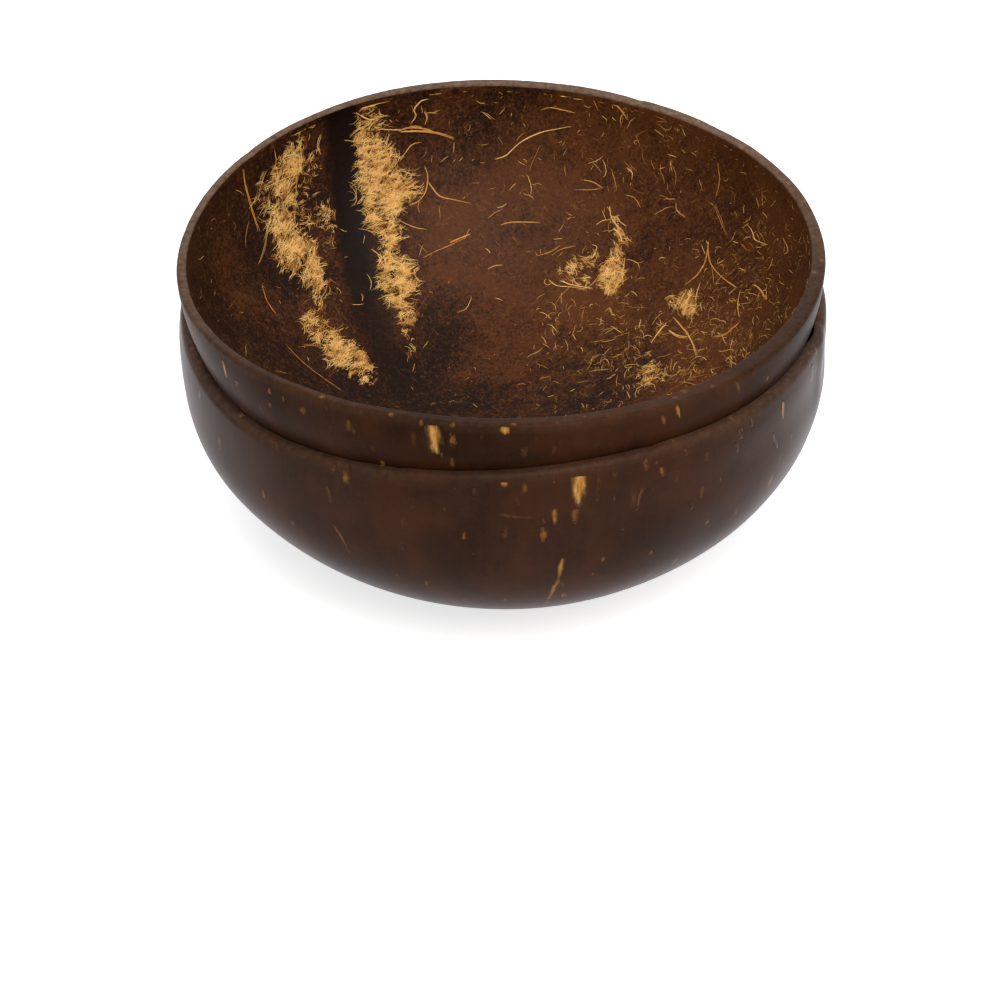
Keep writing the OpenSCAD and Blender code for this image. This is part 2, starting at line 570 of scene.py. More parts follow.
def ease(share):
    """Smooth step from 0 to 1: three times the square less twice the cube of the share."""
    share = np.clip(share, 0, 1)
    return share * share * (3 - 2 * share)


def superellipse(share, fullness):
    """Height share of a superellipse at a share of its radius, and the other way round."""
    return np.maximum(1 - np.abs(share) ** fullness, 0) ** (1 / fullness)


def ripple(points, wavelength, seed):
    """Gentle unevenness from -1 to 1: the mean of plane waves in fixed random directions."""
    count = 10
    rng = np.random.default_rng(seed)
    heading = rng.normal(size=(count, 3))
    heading /= np.linalg.norm(heading, axis=1, keepdims=True)
    stretch = rng.uniform(0.7, 1.5, count)
    phase = rng.uniform(0, 2 * np.pi, count)
    turns = points @ heading.T * stretch / wavelength
    return np.sin(2 * np.pi * turns + phase).sum(-1) / np.sqrt(2 * count)


def along(points, count):
    """A polyline resampled at equal steps of its own length."""
    points = np.asarray(points, float)
    length = np.r_[0, np.cumsum(np.linalg.norm(np.diff(points[:, :2], axis=0), axis=1))]
    where = np.linspace(0, length[-1], count)
    return np.stack([np.interp(where, length, column) for column in points.T], 1)


def smooth_line(points, count):
    """A smooth curve through a few points: cubic pieces whose slopes join each point's neighbours."""
    points = np.asarray(points, float)
    ends = np.concatenate([[2 * points[0] - points[1]], points, [2 * points[-1] - points[-2]]])
    where = np.linspace(0, len(points) - 1, count)
    piece = np.minimum(where.astype(int), len(points) - 2)
    t = (where - piece)[:, None]
    before, here, there, after = (ends[piece + i] for i in range(4))
    slope_here, slope_there = (there - before) / 2, (after - here) / 2
    return (
        (2 * t**3 - 3 * t**2 + 1) * here
        + (t**3 - 2 * t**2 + t) * slope_here
        + (3 * t**2 - 2 * t**3) * there
        + (t**3 - t**2) * slope_there
    )


def unit(vectors):
    """Vectors scaled to length 1."""
    return vectors / np.maximum(np.linalg.norm(vectors, axis=-1, keepdims=True), 1e-12)


def turned(azimuth, radius, height):
    """Points at an azimuth round the axis, a radius from it and a height, from arrays of each."""
    azimuth, radius, height = np.broadcast_arrays(azimuth, radius, height)
    return np.stack([radius * np.cos(azimuth), radius * np.sin(azimuth), height], -1)


def azimuth_of(points):
    """Azimuth of points round the axis."""
    return np.arctan2(points[..., 1], points[..., 0])


def settings():
    """The scene's own copies of the settings."""
    scene = bpy.context.scene
    return Settings(scene.bowl_sizes, scene.shell_look, scene.fibre_look, scene.stage_look)


def shell_form(low, high, wide_z, fullness, edge, inner_edge, wall, floor):
    """Sizes of a shell, from the corners of its CAD box. Its outside is a superellipse that is widest
    at one height and cut by the flat foot, and its inside is smaller by the wall and the floor."""
    foot_r = settings().sizes.foot_diameter / 2
    radius = (high.x - low.x) / 2
    inner_r = radius - wall
    inner_depth = wide_z - low.z - floor
    return SimpleNamespace(
        foot_z=low.z, rim_z=high.z, wide_z=wide_z, fullness=fullness, edge=edge,
        inner_edge=inner_edge, wall=wall, radius=radius,
        depth=(wide_z - low.z) / superellipse(foot_r / radius, fullness),
        inner_r=inner_r, inner_depth=inner_depth,
        inner_radii=np.array([inner_r, inner_r, inner_depth]))


def upper_form():
    """Sizes of the upper bowl, which is widest at its rim."""
    sizes = settings().sizes
    return shell_form(
        UPPER_LOW, UPPER_HIGH, UPPER_HIGH.z, UPPER_FULLNESS,
        sizes.edge_radius, sizes.inner_edge, sizes.upper_wall, sizes.upper_floor)


def lower_form():
    """Sizes of the lower bowl, whose belly is below its rim."""
    sizes = settings().sizes
    return shell_form(
        LOWER_LOW, LOWER_HIGH, sizes.belly_height, LOWER_FULLNESS,
        sizes.lower_edge, sizes.lower_inner_edge, sizes.lower_wall, sizes.lower_floor)


def outer_radius(form, height):
    """Outer radius at a height, on the round shell."""
    return form.radius * superellipse((height - form.wide_z) / form.depth, form.fullness)


def inner_radius(form, height):
    """Inner radius at a height: the wall's thickness inside the outer one above the belly."""
    below = form.inner_r * superellipse(
        np.minimum(height - form.wide_z, 0) / form.inner_depth, form.fullness)
    return np.where(height > form.wide_z, outer_radius(form, height) - form.wall, below)


def upper_outside(azimuth, height):
    """Points of the upper bowl's outer wall: its superellipse, a little out of round."""
    form = upper_form()
    share = 1 + around(azimuth, UPPER_ROUNDNESS) / form.radius
    radius = outer_radius(form, height) * share
    swell = 0.10 * MM * ripple(turned(azimuth, radius, height), 22 * MM, SEEDS.upper_wall)
    return turned(azimuth, radius + swell, height)


def seat_radius(azimuth):
    """Inner radius and height of the lower rim: just off the upper wall, and wider at its slot."""
    sizes = settings().sizes
    height = lower_form().rim_z + around(azimuth, LOWER_RIM_WAVE)
    wall = np.linalg.norm(upper_outside(azimuth, height)[..., :2], axis=-1)
    off = np.angle(np.exp(1j * (azimuth - sizes.slot_azimuth))) / sizes.slot_width
    return wall + sizes.seat_gap + sizes.slot_gap * np.exp(-(off**2)), height


def lower_scale(azimuth, height):
    """Share by which the lower shell is drawn in or let out so that its rim follows the upper wall."""
    form = lower_form()
    seat, rim = seat_radius(azimuth)
    drawn = seat / inner_radius(form, rim) - 1
    return 1 + drawn * ease(1 - (rim - height) / FIT_DEPTH)


def lower_sway(azimuth, height):
    """How far the lower shell lies off its round section, as a natural shell does: bell curves of the
    height to the right and the front and into three soft corners in its lower half, and to the left
    under its rim."""
    low = np.exp(-((height / MM - 12) / 13) ** 2)
    high = np.exp(-((height / MM - 42) / 6) ** 2)
    shift = np.stack([(0.8 * low - 0.5 * high) * MM, -0.9 * low * MM, 0 * height], -1)
    corners = 1.1 * MM * low * np.cos(3 * (azimuth + np.pi / 2))
    return shift + turned(azimuth, corners, 0 * height)


def lower_outside(azimuth, height):
    """Points of the lower bowl's outer wall, with its rim fitted round the upper bowl."""
    form = lower_form()
    radius = outer_radius(form, height) * lower_scale(azimuth, height)
    swell = 0.12 * MM * ripple(turned(azimuth, radius, height), 24 * MM, SEEDS.lower_wall)
    return turned(azimuth, radius + swell, height) + lower_sway(azimuth, height)


def inside_radius(azimuth):
    """Radius of the upper bowl's inside at its rim: the outer radius less an uneven wall."""
    form = upper_form()
    return form.inner_r + around(azimuth, UPPER_ROUNDNESS) - around(azimuth, UPPER_WALL_WAVE)


def upper_inside(azimuth, fall, relief=True):
    """Points and normals of the upper bowl's inside. The fall is 0 at the rim and a right angle at
    the floor's centre: the radius goes with its cosine and the depth with its sine."""
    form = upper_form()
    azimuth, fall = np.broadcast_arrays(azimuth, fall)
    radius = inside_radius(azimuth) * np.cos(fall)
    rim = form.rim_z + around(azimuth, UPPER_RIM_WAVE) * np.cos(fall) ** 4
    height = rim - form.inner_depth * np.sin(fall)
    points = turned(azimuth, radius, height)
    normals = unit(turned(azimuth, -np.cos(fall) / form.inner_r, np.sin(fall) / form.inner_depth))
    if relief:
        rise = 0.10 * MM * ripple(points, 16 * MM, SEEDS.inside_swell)
        rise = rise + 0.035 * MM * ripple(points, 4 * MM, SEEDS.inside_grain)
        rise = rise - 0.40 * MM * groove_depth(points)
        rise = rise + 0.20 * MM * felt_cover(points)
        rise = rise * ease(fall / np.radians(4))
        points = points + normals * rise[..., None]
    return points, normals


def camera_frame():
    """The photograph's camera: its place, right, up and forward directions, and focal pixels."""
    stage = settings().stage
    centre = np.array([0, 0, UPPER_HIGH.z])
    view = np.array([0, np.cos(stage.elevation), -np.sin(stage.elevation)])
    place = centre - stage.distance * view
    focal = stage.lens / SENSOR_MM * PHOTO_SIZE
    right = np.array([1.0, 0, 0])
    up = np.cross(right, view)
    across = (stage.rim_pixel[0] - PHOTO_MIDDLE) / focal
    above = (PHOTO_MIDDLE - stage.rim_pixel[1]) / focal
    forward = unit(view - across * right - above * up)
    side = unit(np.cross(forward, up))
    upward = np.cross(side, forward)
    c, s = np.cos(stage.roll), np.sin(stage.roll)
    return SimpleNamespace(
        place=place, right=c * side + s * upward, up=c * upward - s * side,
        forward=forward, focal=focal)


def seen_at(pixels, radius, depth, wide_z, fullness, far):
    """Points of a superellipsoid that lie at pixels of the photograph. Each pixel's ray is walked in
    small steps, and its last step inside the solid is kept where the far side is asked for, and else
    its first."""
    camera = camera_frame()
    pixels = np.asarray(pixels, float)
    rays = unit(
        camera.forward
        + (pixels[..., :1] - PHOTO_MIDDLE) / camera.focal * camera.right
        + (PHOTO_MIDDLE - pixels[..., 1:2]) / camera.focal * camera.up)
    walk = camera.place + rays[..., None, :] * RAY_WALK[:, None]
    level = (
        (np.hypot(walk[..., 0], walk[..., 1]) / radius) ** fullness
        + (np.abs(walk[..., 2] - wide_z) / depth) ** fullness - 1)
    within = level < 0
    if far:
        index = within.shape[-1] - 1 - np.argmax(within[..., ::-1], -1)
    else:
        index = np.argmax(within, -1)
    return np.take_along_axis(walk, index[..., None, None], -2)[..., 0, :]


def inside_place(points):
    """Azimuth and fall of points near the upper bowl's inside."""
    form = upper_form()
    depth = np.maximum(form.rim_z - points[..., 2], 0) / form.inner_depth
    across = np.hypot(points[..., 0], points[..., 1]) / form.inner_r
    return azimuth_of(points), np.arctan2(depth, across)


def inside_at(pixels):
    """Points of the upper bowl's inside at pixels of the photograph."""
    form = upper_form()
    return seen_at(pixels, form.inner_r, form.inner_depth, form.rim_z, form.fullness, True)


def photo_pixels(points):
    """Pixels of the photograph at which points show: their offsets across and above over their depth."""
    camera = camera_frame()
    away = points - camera.place
    depth = away @ camera.forward / camera.focal
    right, up = away @ camera.right / depth, away @ camera.up / depth
    return np.stack([PHOTO_MIDDLE + right, PHOTO_MIDDLE - up], -1)


def faces_camera(points):
    """Whether the upper bowl's inside faces the photograph's camera at each point, so that its pixel
    means that point and not one behind it."""
    form = upper_form()
    inward = -(points - [0, 0, form.rim_z]) / form.inner_radii**2
    return ((camera_frame().place - points) * inward).sum(-1) > 0


def streaks(pixels, heading, length, width, seed):
    """Unevenness from -1 to 1 over the picture, drawn out to a length along a heading."""
    c, s = np.cos(heading), np.sin(heading)
    lengthwise = (pixels[..., 0] * c - pixels[..., 1] * s) / length
    crosswise = (pixels[..., 0] * s + pixels[..., 1] * c) / width
    return ripple(np.stack([lengthwise, crosswise, 0 * crosswise], -1), 1.0, seed)


def path_level(pixels, path, full=0.7, end=1.45):
    """How much a path of the picture covers each pixel, from 0 to 1, and the nearest point of the
    path. The cover is full up to one share of the path's half width and ends at another."""
    line = along(path, PATH_POINTS)
    away = np.linalg.norm(pixels[:, None] - line[:, :2], axis=-1) / line[:, 2]
    nearest = np.argmin(away, 1)
    share = ease((end - away[np.arange(len(pixels)), nearest]) / (end - full))
    return share, line[nearest]


def felt_level(pixels, path):
    """Felt over pixels of the picture, from 0 to 1: a path's cover, torn into tufts and holes by
    streaks that run with its strands."""
    share, nearest = path_level(pixels, path)
    heading = np.radians(np.mean([point[4] for point in path]))
    tufts = 0.85 * streaks(pixels, heading, 22, 7, SEEDS.broad_tufts)
    tufts = tufts + streaks(pixels, heading, 12, 4.2, SEEDS.fine_tufts)
    level = share * nearest[:, 3]
    return ease((level + tufts - 0.15) / 0.6) * ease(level * 1.7), nearest


def groove_depth(points):
    """Depth share of the dark groove between the bands."""
    share, nearest = path_level(photo_pixels(points.reshape(-1, 3)), GROOVE, 0.3, 1.8)
    return (share * nearest[:, 3]).reshape(points.shape[:-1]) * faces_camera(points)


def felt_cover(points):
    """Share of felt over each point of the inside, from all bands and patches."""
    pixels = photo_pixels(points.reshape(-1, 3))
    paths = [path for band in BANDS.values() for path in band]
    level = np.max([felt_level(pixels, path)[0] for path in paths], 0)
    return level.reshape(points.shape[:-1]) * faces_camera(points)


def warmth_and_painted_shade(points):
    """How warm and light the inside's brown is, from 0 to 1: the shell's own tone, with painted shade at
    the back near the rim. It rises from the left to the right and from the front to the back and lifts
    again at the far left, and it falls at the back near the rim, as painted shade, and on the floor."""
    form = upper_form()
    across = points[..., 0] / form.inner_r
    back = points[..., 1] / form.inner_r
    deep = (form.rim_z - points[..., 2]) / form.inner_depth
    tone = 0.20 + 0.56 * ease(across + 0.80) - 0.45 * ease((0.55 - back) / 1.2)
    tone = tone + 0.30 * ease((across - 0.15) / 0.5) + 0.22 * ease((-across - 0.80) / 0.15)
    # Darker at the back near the rim: painted shade
    tone = tone - 0.14 * ease((back - 0.45) / 0.3) * ease((0.55 - deep) / 0.4)
    tone = tone - 0.38 * ease((deep - 0.70) / 0.20)
    return np.clip(tone + 0.14 * ripple(points, 22 * MM, SEEDS.warmth_and_painted_shade), 0, 1)


def new_object(name, data):
    """A new object in the scene with a mesh, a lamp or a camera."""
    piece = bpy.data.objects.new(name, data)
    bpy.context.scene.collection.objects.link(piece)
    return piece


def closed_mesh(name, points, quads, triangles):
    """A mesh object at the origin from arrays of points and faces."""
    mesh = bpy.data.meshes.new(name)
    mesh.from_pydata(points.tolist(), [], quads.tolist() + triangles.tolist())
    mesh.shade_smooth()
    mesh.update()
    return new_object(name, mesh)


def turned_faces(rows, columns):
    """Faces of a closed turned shape: quads between rings, and a fan at the pole of each end."""
    ring = np.arange(columns)
    following = (ring + 1) % columns
    start = 1 + columns * np.arange(rows - 1)[:, None]
    quads = np.stack([
        start + ring, start + following,
        start + columns + following, start + columns + ring,
    ], -1).reshape(-1, 4)
    last = 1 + columns * (rows - 1)
    first_fan = np.stack([0 * ring, 1 + following, 1 + ring], -1)
    last_fan = np.stack([0 * ring + last + columns, last + ring, last + following], -1)
    return quads, np.concatenate([first_fan, last_fan])


def turned_shell(name, rings, first_pole, last_pole):
    """A closed shell from rings of points that run from its foot, up, over the rim and down inside."""
    rows, columns = rings.shape[:2]
    points = np.concatenate([[first_pole], rings.reshape(-1, 3), [last_pole]])
    quads, triangles = turned_faces(rows, columns)
    return closed_mesh(name, points, quads, triangles)


def even_heights(radius_at, low, high, count):
    """Heights from low to high at equal steps along a profile."""
    height = np.linspace(low, high, PROFILE_STEPS)
    length = np.r_[0, np.cumsum(np.hypot(np.diff(height), np.diff(radius_at(height))))]
    return np.interp(np.linspace(0, length[-1], count), length, height)


def foot_rings(edge_points, foot_z, rounding):
    """Rings of the flat foot from near its centre to its rounded edge, under the first side ring."""
    middle = np.array([0, 0, foot_z])
    flat = edge_points * [1, 1, 0] + middle
    rings = middle + (flat - middle) * FOOT_SHARES[:, None, None]
    rings[-1, :, 2] += FOOT_RING_RISE * rounding
    return rings


def rim_rings(form, outer, inner, top):
    """Rings over a rim: a quarter round, a flat top and a smaller quarter round. The outer and inner
    walls end one edge radius below the top."""
    turn = np.linspace(0, np.pi / 2, EDGE_ROWS + 1)[1:, None]
    share = np.linspace(0, 1, RIM_ROWS)[1:-1, None]
    radial = unit(inner * [1, 1, 0])
    outer_r = np.linalg.norm(outer[:, :2], axis=1) - form.edge
    inner_r = np.linalg.norm(inner[:, :2], axis=1) + form.inner_edge
    radius = np.concatenate([
        outer_r + form.edge * np.cos(turn),
        outer_r + (inner_r - outer_r) * share,
        inner_r - form.inner_edge * np.sin(turn - turn[0]),
    ])
    height = np.concatenate([
        top - form.edge * (1 - np.sin(turn)),
        top + 0 * share,
        top - form.inner_edge * (1 - np.cos(turn - turn[0])),
    ])
    return radial * radius[..., None] + height[..., None] * np.array([0, 0, 1])


def rim_unevenness(azimuth, seed):
    """Small unevenness of a hand sanded rim, in metres, with a few nicks."""
    rng = np.random.default_rng(seed)
    ring = turned(azimuth, 1, 0)
    rise = 0.05 * MM * ripple(ring, 0.25, seed) + 0.03 * MM * ripple(ring, 0.06, seed + 1)
    for place in rng.uniform(-np.pi, np.pi, NICKS):
        off = np.angle(np.exp(1j * (azimuth - place))) / np.radians(NICK_WIDTH)
        rise = rise - rng.uniform(*NICK_DEPTH) * MM * np.exp(-(off**2))
    return rise


def section_slots(piece, rings, outside, inside, rim_pale_and_lit):
    """Gives the outside with its cut rim one material and the inside another. The attribute cut is how
    pale the rim is drawn: its sanded colour, with painted light that changes round the rim, and it fades
    out down the first millimetres of the outer wall."""
    rows, columns = rings.shape[:2]
    piece.data.materials.append(outside)
    piece.data.materials.append(inside)
    quads = columns * (rows - 1)
    faces = np.zeros(len(piece.data.polygons), np.int32)
    faces[:quads] = np.arange(quads) // columns >= rows - INSIDE_ROWS
    faces[quads + columns:] = 1
    piece.data.polygons.foreach_set("material_index", faces)
    below = rings[..., 2].max(0) - rings[..., 2]
    below[rows - INSIDE_ROWS:] = 0
    cut = rim_pale_and_lit * ease(1.15 - below / (2.2 * MM))
    store(piece, "cut", np.concatenate([[0], cut.ravel(), [0]]))


def store(piece, name, values):
    """Keeps one number for each vertex as an attribute that the materials read."""
    layer = piece.data.attributes.new(name, "FLOAT", "POINT")
    layer.data.foreach_set("value", np.ascontiguousarray(values, np.float32))


def add_node(tree, kind, values=None, **options):
    """A shader node with some of its options and input values set."""
    node = tree.nodes.new(kind)
    for name, value in options.items():
        setattr(node, name, value)
    for name, value in (values or {}).items():
        node.inputs[name].default_value = value
    return node


def feed(tree, value, given):
    """Links a socket to an input, or sets the input to a number or a colour."""
    if isinstance(value, bpy.types.NodeSocket):
        tree.links.new(value, given)
    elif isinstance(value, (int, float)):
        given.default_value = value
    else:
        given.default_value = (*value, 1.0)


def maths(tree, operation, first, second=0.0, clamp=False):
    """A Math node on two inputs that are sockets or numbers, giving its output socket."""
    node = add_node(tree, "ShaderNodeMath", operation=operation, use_clamp=clamp)
    feed(tree, first, node.inputs[0])
    feed(tree, second, node.inputs[1])
    return node.outputs[0]


def spread(tree, value, low, high, to_low=0.0, to_high=1.0):
    """A smooth Map Range of a socket, giving its output socket."""
    node = add_node(tree, "ShaderNodeMapRange", {
        "From Min": low, "From Max": high, "To Min": to_low, "To Max": to_high,
    }, interpolation_type="SMOOTHSTEP")
    tree.links.new(value, node.inputs["Value"])
    return node.outputs["Result"]


def blend_colours(tree, share, first, second, blend_type="MIX"):
    """A colour Mix node of two colours or sockets by a share, giving its output socket."""
    node = add_node(tree, "ShaderNodeMix", data_type="RGBA", blend_type=blend_type)
    for number, value in zip(MIX_COLOUR_INPUTS, (share, first, second)):
        feed(tree, value, node.inputs[number])
    return node.outputs[MIX_COLOUR_OUTPUT]


def noise(tree, vector, scale, detail=4.0, roughness=0.55, distortion=0.0):
    """A Noise node on a vector socket, giving its value socket."""
    node = add_node(tree, "ShaderNodeTexNoise", {
        "Detail": detail, "Roughness": roughness, "Distortion": distortion,
    })
    feed(tree, vector, node.inputs["Vector"])
    feed(tree, scale, node.inputs["Scale"])
    return node.outputs[0]


def centred(tree, value):
    """A socket less one half, so that a noise swings about 0."""
    return maths(tree, "SUBTRACT", value, 0.5)


def times(tree, first, second, clamp=False):
    """The product of two sockets or numbers."""
    return maths(tree, "MULTIPLY", first, second, clamp)


def plus(tree, first, second, clamp=False):
    """The sum of two sockets or numbers."""
    return maths(tree, "ADD", first, second, clamp)


def stretched(tree, vector, scale):
    """A Mapping node that scales a vector socket."""
    node = add_node(tree, "ShaderNodeMapping", {"Scale": scale})
    tree.links.new(vector, node.inputs["Vector"])
    return node.outputs["Vector"]


def shader_group(name, inputs, outputs):
    """A new shader node group with its sockets, and its input and output nodes."""
    group = bpy.data.node_groups.new(name, "ShaderNodeTree")
    for label, kind, value in inputs:
        socket = group.interface.new_socket(label, in_out="INPUT", socket_type=kind)
        if value is not None:
            socket.default_value = value
    for label, kind in outputs:
        group.interface.new_socket(label, in_out="OUTPUT", socket_type=kind)
    return group, group.nodes.new("NodeGroupInput").outputs, group.nodes.new("NodeGroupOutput").inputs


def mottling_group():
    """Cloudy tone of a natural shell: broad clouds, small clouds and fine grain, and upright streaks."""
    group, given, out = shader_group("Shell Mottling", (
        ("Vector", "NodeSocketVector", None),
        ("Dark", "NodeSocketColor", None),
        ("Warm", "NodeSocketColor", None),
        ("Clouds", "NodeSocketFloat", 0.5),
        ("Grain", "NodeSocketFloat", 0.5),
        ("Streaks", "NodeSocketFloat", 0.5),
        ("Lift", "NodeSocketFloat", 0.0),
    ), (("Color", "NodeSocketColor"), ("Height", "NodeSocketFloat")))
    broad = centred(group, noise(group, given["Vector"], 42, 3, 0.5, 0.6))
    small = centred(group, noise(group, given["Vector"], 380, 4, 0.65, 0.8))
    grain = centred(group, noise(group, given["Vector"], 1500, 3, 0.7, 0.4))
    streak = centred(group, noise(group, stretched(group, given["Vector"], (1, 1, 0.14)), 700, 3, 0.6))
    streak = times(group, streak, given["Streaks"])
    fine = plus(group, times(group, small, 0.45), times(group, grain, 0.8))
    fine = times(group, fine, given["Grain"])
    tone = plus(group, times(group, broad, given["Clouds"]), fine)
    tone = plus(group, plus(group, tone, streak), given["Lift"])
    tone = spread(group, tone, -0.25, 0.25)
    group.links.new(blend_colours(group, tone, given["Dark"], given["Warm"]), out["Color"])
    group.links.new(plus(group, fine, streak), out["Height"])
    return group


def hairline_group():
    """Fine curved lines like short hairs: thin contours of a noise, broken up by another noise."""
    group, given, out = shader_group("Fine Hairs", (
        ("Vector", "NodeSocketVector", None),
        ("Scale", "NodeSocketFloat", 300.0),
        ("Width", "NodeSocketFloat", 0.02),
        ("Amount", "NodeSocketFloat", 0.5),
    ), (("Mask", "NodeSocketFloat"),))
    bend = noise(group, given["Vector"], given["Scale"], 1, 0.5, 1.6)
    away = maths(group, "ABSOLUTE", centred(group, bend))
    line = maths(group, "SUBTRACT", 1.0, maths(group, "DIVIDE", away, given["Width"]), clamp=True)
    breaks = noise(group, given["Vector"], times(group, given["Scale"], 1.7), 2, 0.6)
    kept = maths(group, "SUBTRACT", plus(group, breaks, given["Amount"]), 1.0)
    kept = times(group, kept, 9.0, clamp=True)
    group.links.new(times(group, line, kept), out["Mask"])
    return group


def speck_group():
    """Small ragged specks: the middles of some cells of a Voronoi pattern, each cell with its own
    size and strength, and with noise added to the distance from its middle."""
    group, given, out = shader_group("Specks", (
        ("Vector", "NodeSocketVector", None),
        ("Scale", "NodeSocketFloat", 400.0),
        ("Size", "NodeSocketFloat", 0.25),
        ("Amount", "NodeSocketFloat", 0.1),
    ), (("Mask", "NodeSocketFloat"),))
    cells = group.nodes.new("ShaderNodeTexVoronoi")
    group.links.new(given["Vector"], cells.inputs["Vector"])
    group.links.new(given["Scale"], cells.inputs["Scale"])
    parts = group.nodes.new("ShaderNodeSeparateColor")
    group.links.new(cells.outputs["Color"], parts.inputs[0])
    size = times(group, given["Size"], spread(group, parts.outputs[1], 0, 1, 0.35, 1.25))
    near = maths(group, "SUBTRACT", 1.0, maths(group, "DIVIDE", cells.outputs["Distance"], size))
    ragged = centred(group, noise(group, given["Vector"], 1600, 2, 0.6))
    near = plus(group, near, times(group, ragged, 1.6))
    near = times(group, near, 1.4, clamp=True)
    chosen = maths(group, "LESS_THAN", parts.outputs[0], given["Amount"])
    chosen = times(group, chosen, spread(group, parts.outputs[2], 0, 1, 0.2, 1.0))
    group.links.new(times(group, near, chosen), out["Mask"])
    return group


def tone_group():
    """Colour of a husk fibre from its tone, rust to gold to straw, with a fine grain, and darkened
    with rust where the tone is lowest."""
    group, given, out = shader_group("Fibre Tone", (
        ("Vector", "NodeSocketVector", None),
        ("Tone", "NodeSocketFloat", 0.5),
        ("Rust", "NodeSocketColor", None),
        ("Gold", "NodeSocketColor", None),
        ("Straw", "NodeSocketColor", None),
    ), (("Color", "NodeSocketColor"),))
    grain = centred(group, noise(group, given["Vector"], 1500, 3, 0.6))
    tone = plus(group, given["Tone"], times(group, grain, 0.5))
    lower = blend_colours(group, spread(group, tone, 0.05, 0.45), given["Rust"], given["Gold"])
    colour = blend_colours(group, spread(group, tone, 0.40, 0.85), lower, given["Straw"])
    shaded = blend_colours(group, 1.0, colour, given["Rust"], "MULTIPLY")
    colour = blend_colours(group, spread(group, tone, -0.10, 0.28, 0.85, 0.0), colour, shaded)
    group.links.new(colour, out["Color"])
    return group


# The functions that build the shared node groups, by the groups' names
GROUP_MAKERS = {
    "Shell Mottling": mottling_group,
    "Fine Hairs": hairline_group,
    "Specks": speck_group,
    "Fibre Tone": tone_group,
}


def place_group(tree, name, vector, **values):
    """One of the shared groups in a material, with its own values: colours, numbers or sockets."""
    group = bpy.data.node_groups.get(name) or GROUP_MAKERS[name]()
    node = tree.nodes.new("ShaderNodeGroup")
    node.node_tree = group
    tree.links.new(vector, node.inputs["Vector"])
    for label, value in values.items():
        feed(tree, value, node.inputs[label])
    return node.outputs


def new_material(name, roughness, gloss, sheen=0.0):
    """A material with one Principled shader, and its tree, shader and Object coordinates."""
    material = bpy.data.materials.new(name)
    material.use_nodes = True
    tree = material.node_tree
    shader = tree.nodes["Principled BSDF"]
    shader.inputs["Roughness"].default_value = roughness
    shader.inputs["Specular IOR Level"].default_value = gloss
    shader.inputs["Sheen Weight"].default_value = sheen
    shader.inputs["Sheen Roughness"].default_value = 0.3
    shader.inputs["Sheen Tint"].default_value = (0.88, 0.87, 1.0, 1.0)
    where = tree.nodes.new("ShaderNodeTexCoord").outputs["Object"]
    return material, tree, shader, where


def add_bump(tree, shader, height, distance, strength):
    """Feeds a height socket to the shader's normal through a Bump node."""
    node = add_node(tree, "ShaderNodeBump", {"Strength": strength, "Distance": distance})
    tree.links.new(height, node.inputs["Height"])
    tree.links.new(node.outputs["Normal"], shader.inputs["Normal"])


def read_attribute(tree, name):
    """The value socket of an attribute stored in the mesh."""
    return add_node(tree, "ShaderNodeAttribute", attribute_name=name).outputs["Fac"]


def fibre_colour(tree, where, tone):
    """The colour socket of husk fibre at a tone, from the colours in the settings."""
    fibre = settings().fibre
    return place_group(tree, "Fibre Tone", where, Tone=tone,
                       Rust=fibre.rust, Gold=fibre.gold, Straw=fibre.straw)["Color"]


def polished_colour(tree, where):
    """Colour and height sockets of a polished outside: mottled brown, reddish patches, small specks."""
    look, fibre = settings().shell, settings().fibre
    base = place_group(tree, "Shell Mottling", where, Dark=look.dark, Warm=look.warm,
                       Clouds=0.7, Grain=0.25, Streaks=0.16)
    red = spread(tree, noise(tree, where, 70, 2, 0.5, 0.5), 0.48, 0.66)
    colour = blend_colours(tree, times(tree, red, 0.28), base["Color"], look.red)
    upright = stretched(tree, where, (1, 1, 0.45))
    small = place_group(tree, "Specks", upright, Scale=520.0, Size=0.36, Amount=0.14)
    large = place_group(tree, "Specks", upright, Scale=210.0, Size=0.20, Amount=0.20)
    speck = plus(tree, times(tree, small["Mask"], 0.24), times(tree, large["Mask"], 0.17), clamp=True)
    return blend_colours(tree, speck, colour, fibre.gold), base["Height"]


def polished_material(name, gloss):
    """Polished outside of a shell, satin brown, that turns into its dull, greyer cut rim."""
    look, fibre = settings().shell, settings().fibre
    material, tree, shader, where = new_material(name, POLISH_ROUGHNESS, *gloss)
    shell, height = polished_colour(tree, where)
    grain = noise(tree, where, 700, 5, 0.7)
    ends = place_group(tree, "Specks", where, Scale=480.0, Size=0.36, Amount=0.05)
    sanded = blend_colours(tree, spread(tree, grain, 0.25, 0.75, 0.25, 0.9), shell, look.rim)
    sanded = blend_colours(tree, times(tree, ends["Mask"], 0.22), sanded, fibre.gold)
    # cut blends in the sanded rim's colour, and with it the painted light round the rim
    cut = read_attribute(tree, "cut")
    tree.links.new(blend_colours(tree, cut, shell, sanded), shader.inputs["Base Color"])
    tree.links.new(spread(tree, cut, 0.0, 1.0, 0.38, 0.55), shader.inputs["Roughness"])
    height = plus(tree, height, times(tree, cut, grain))
    add_bump(tree, shader, height, *POLISH_BUMP)
    return material


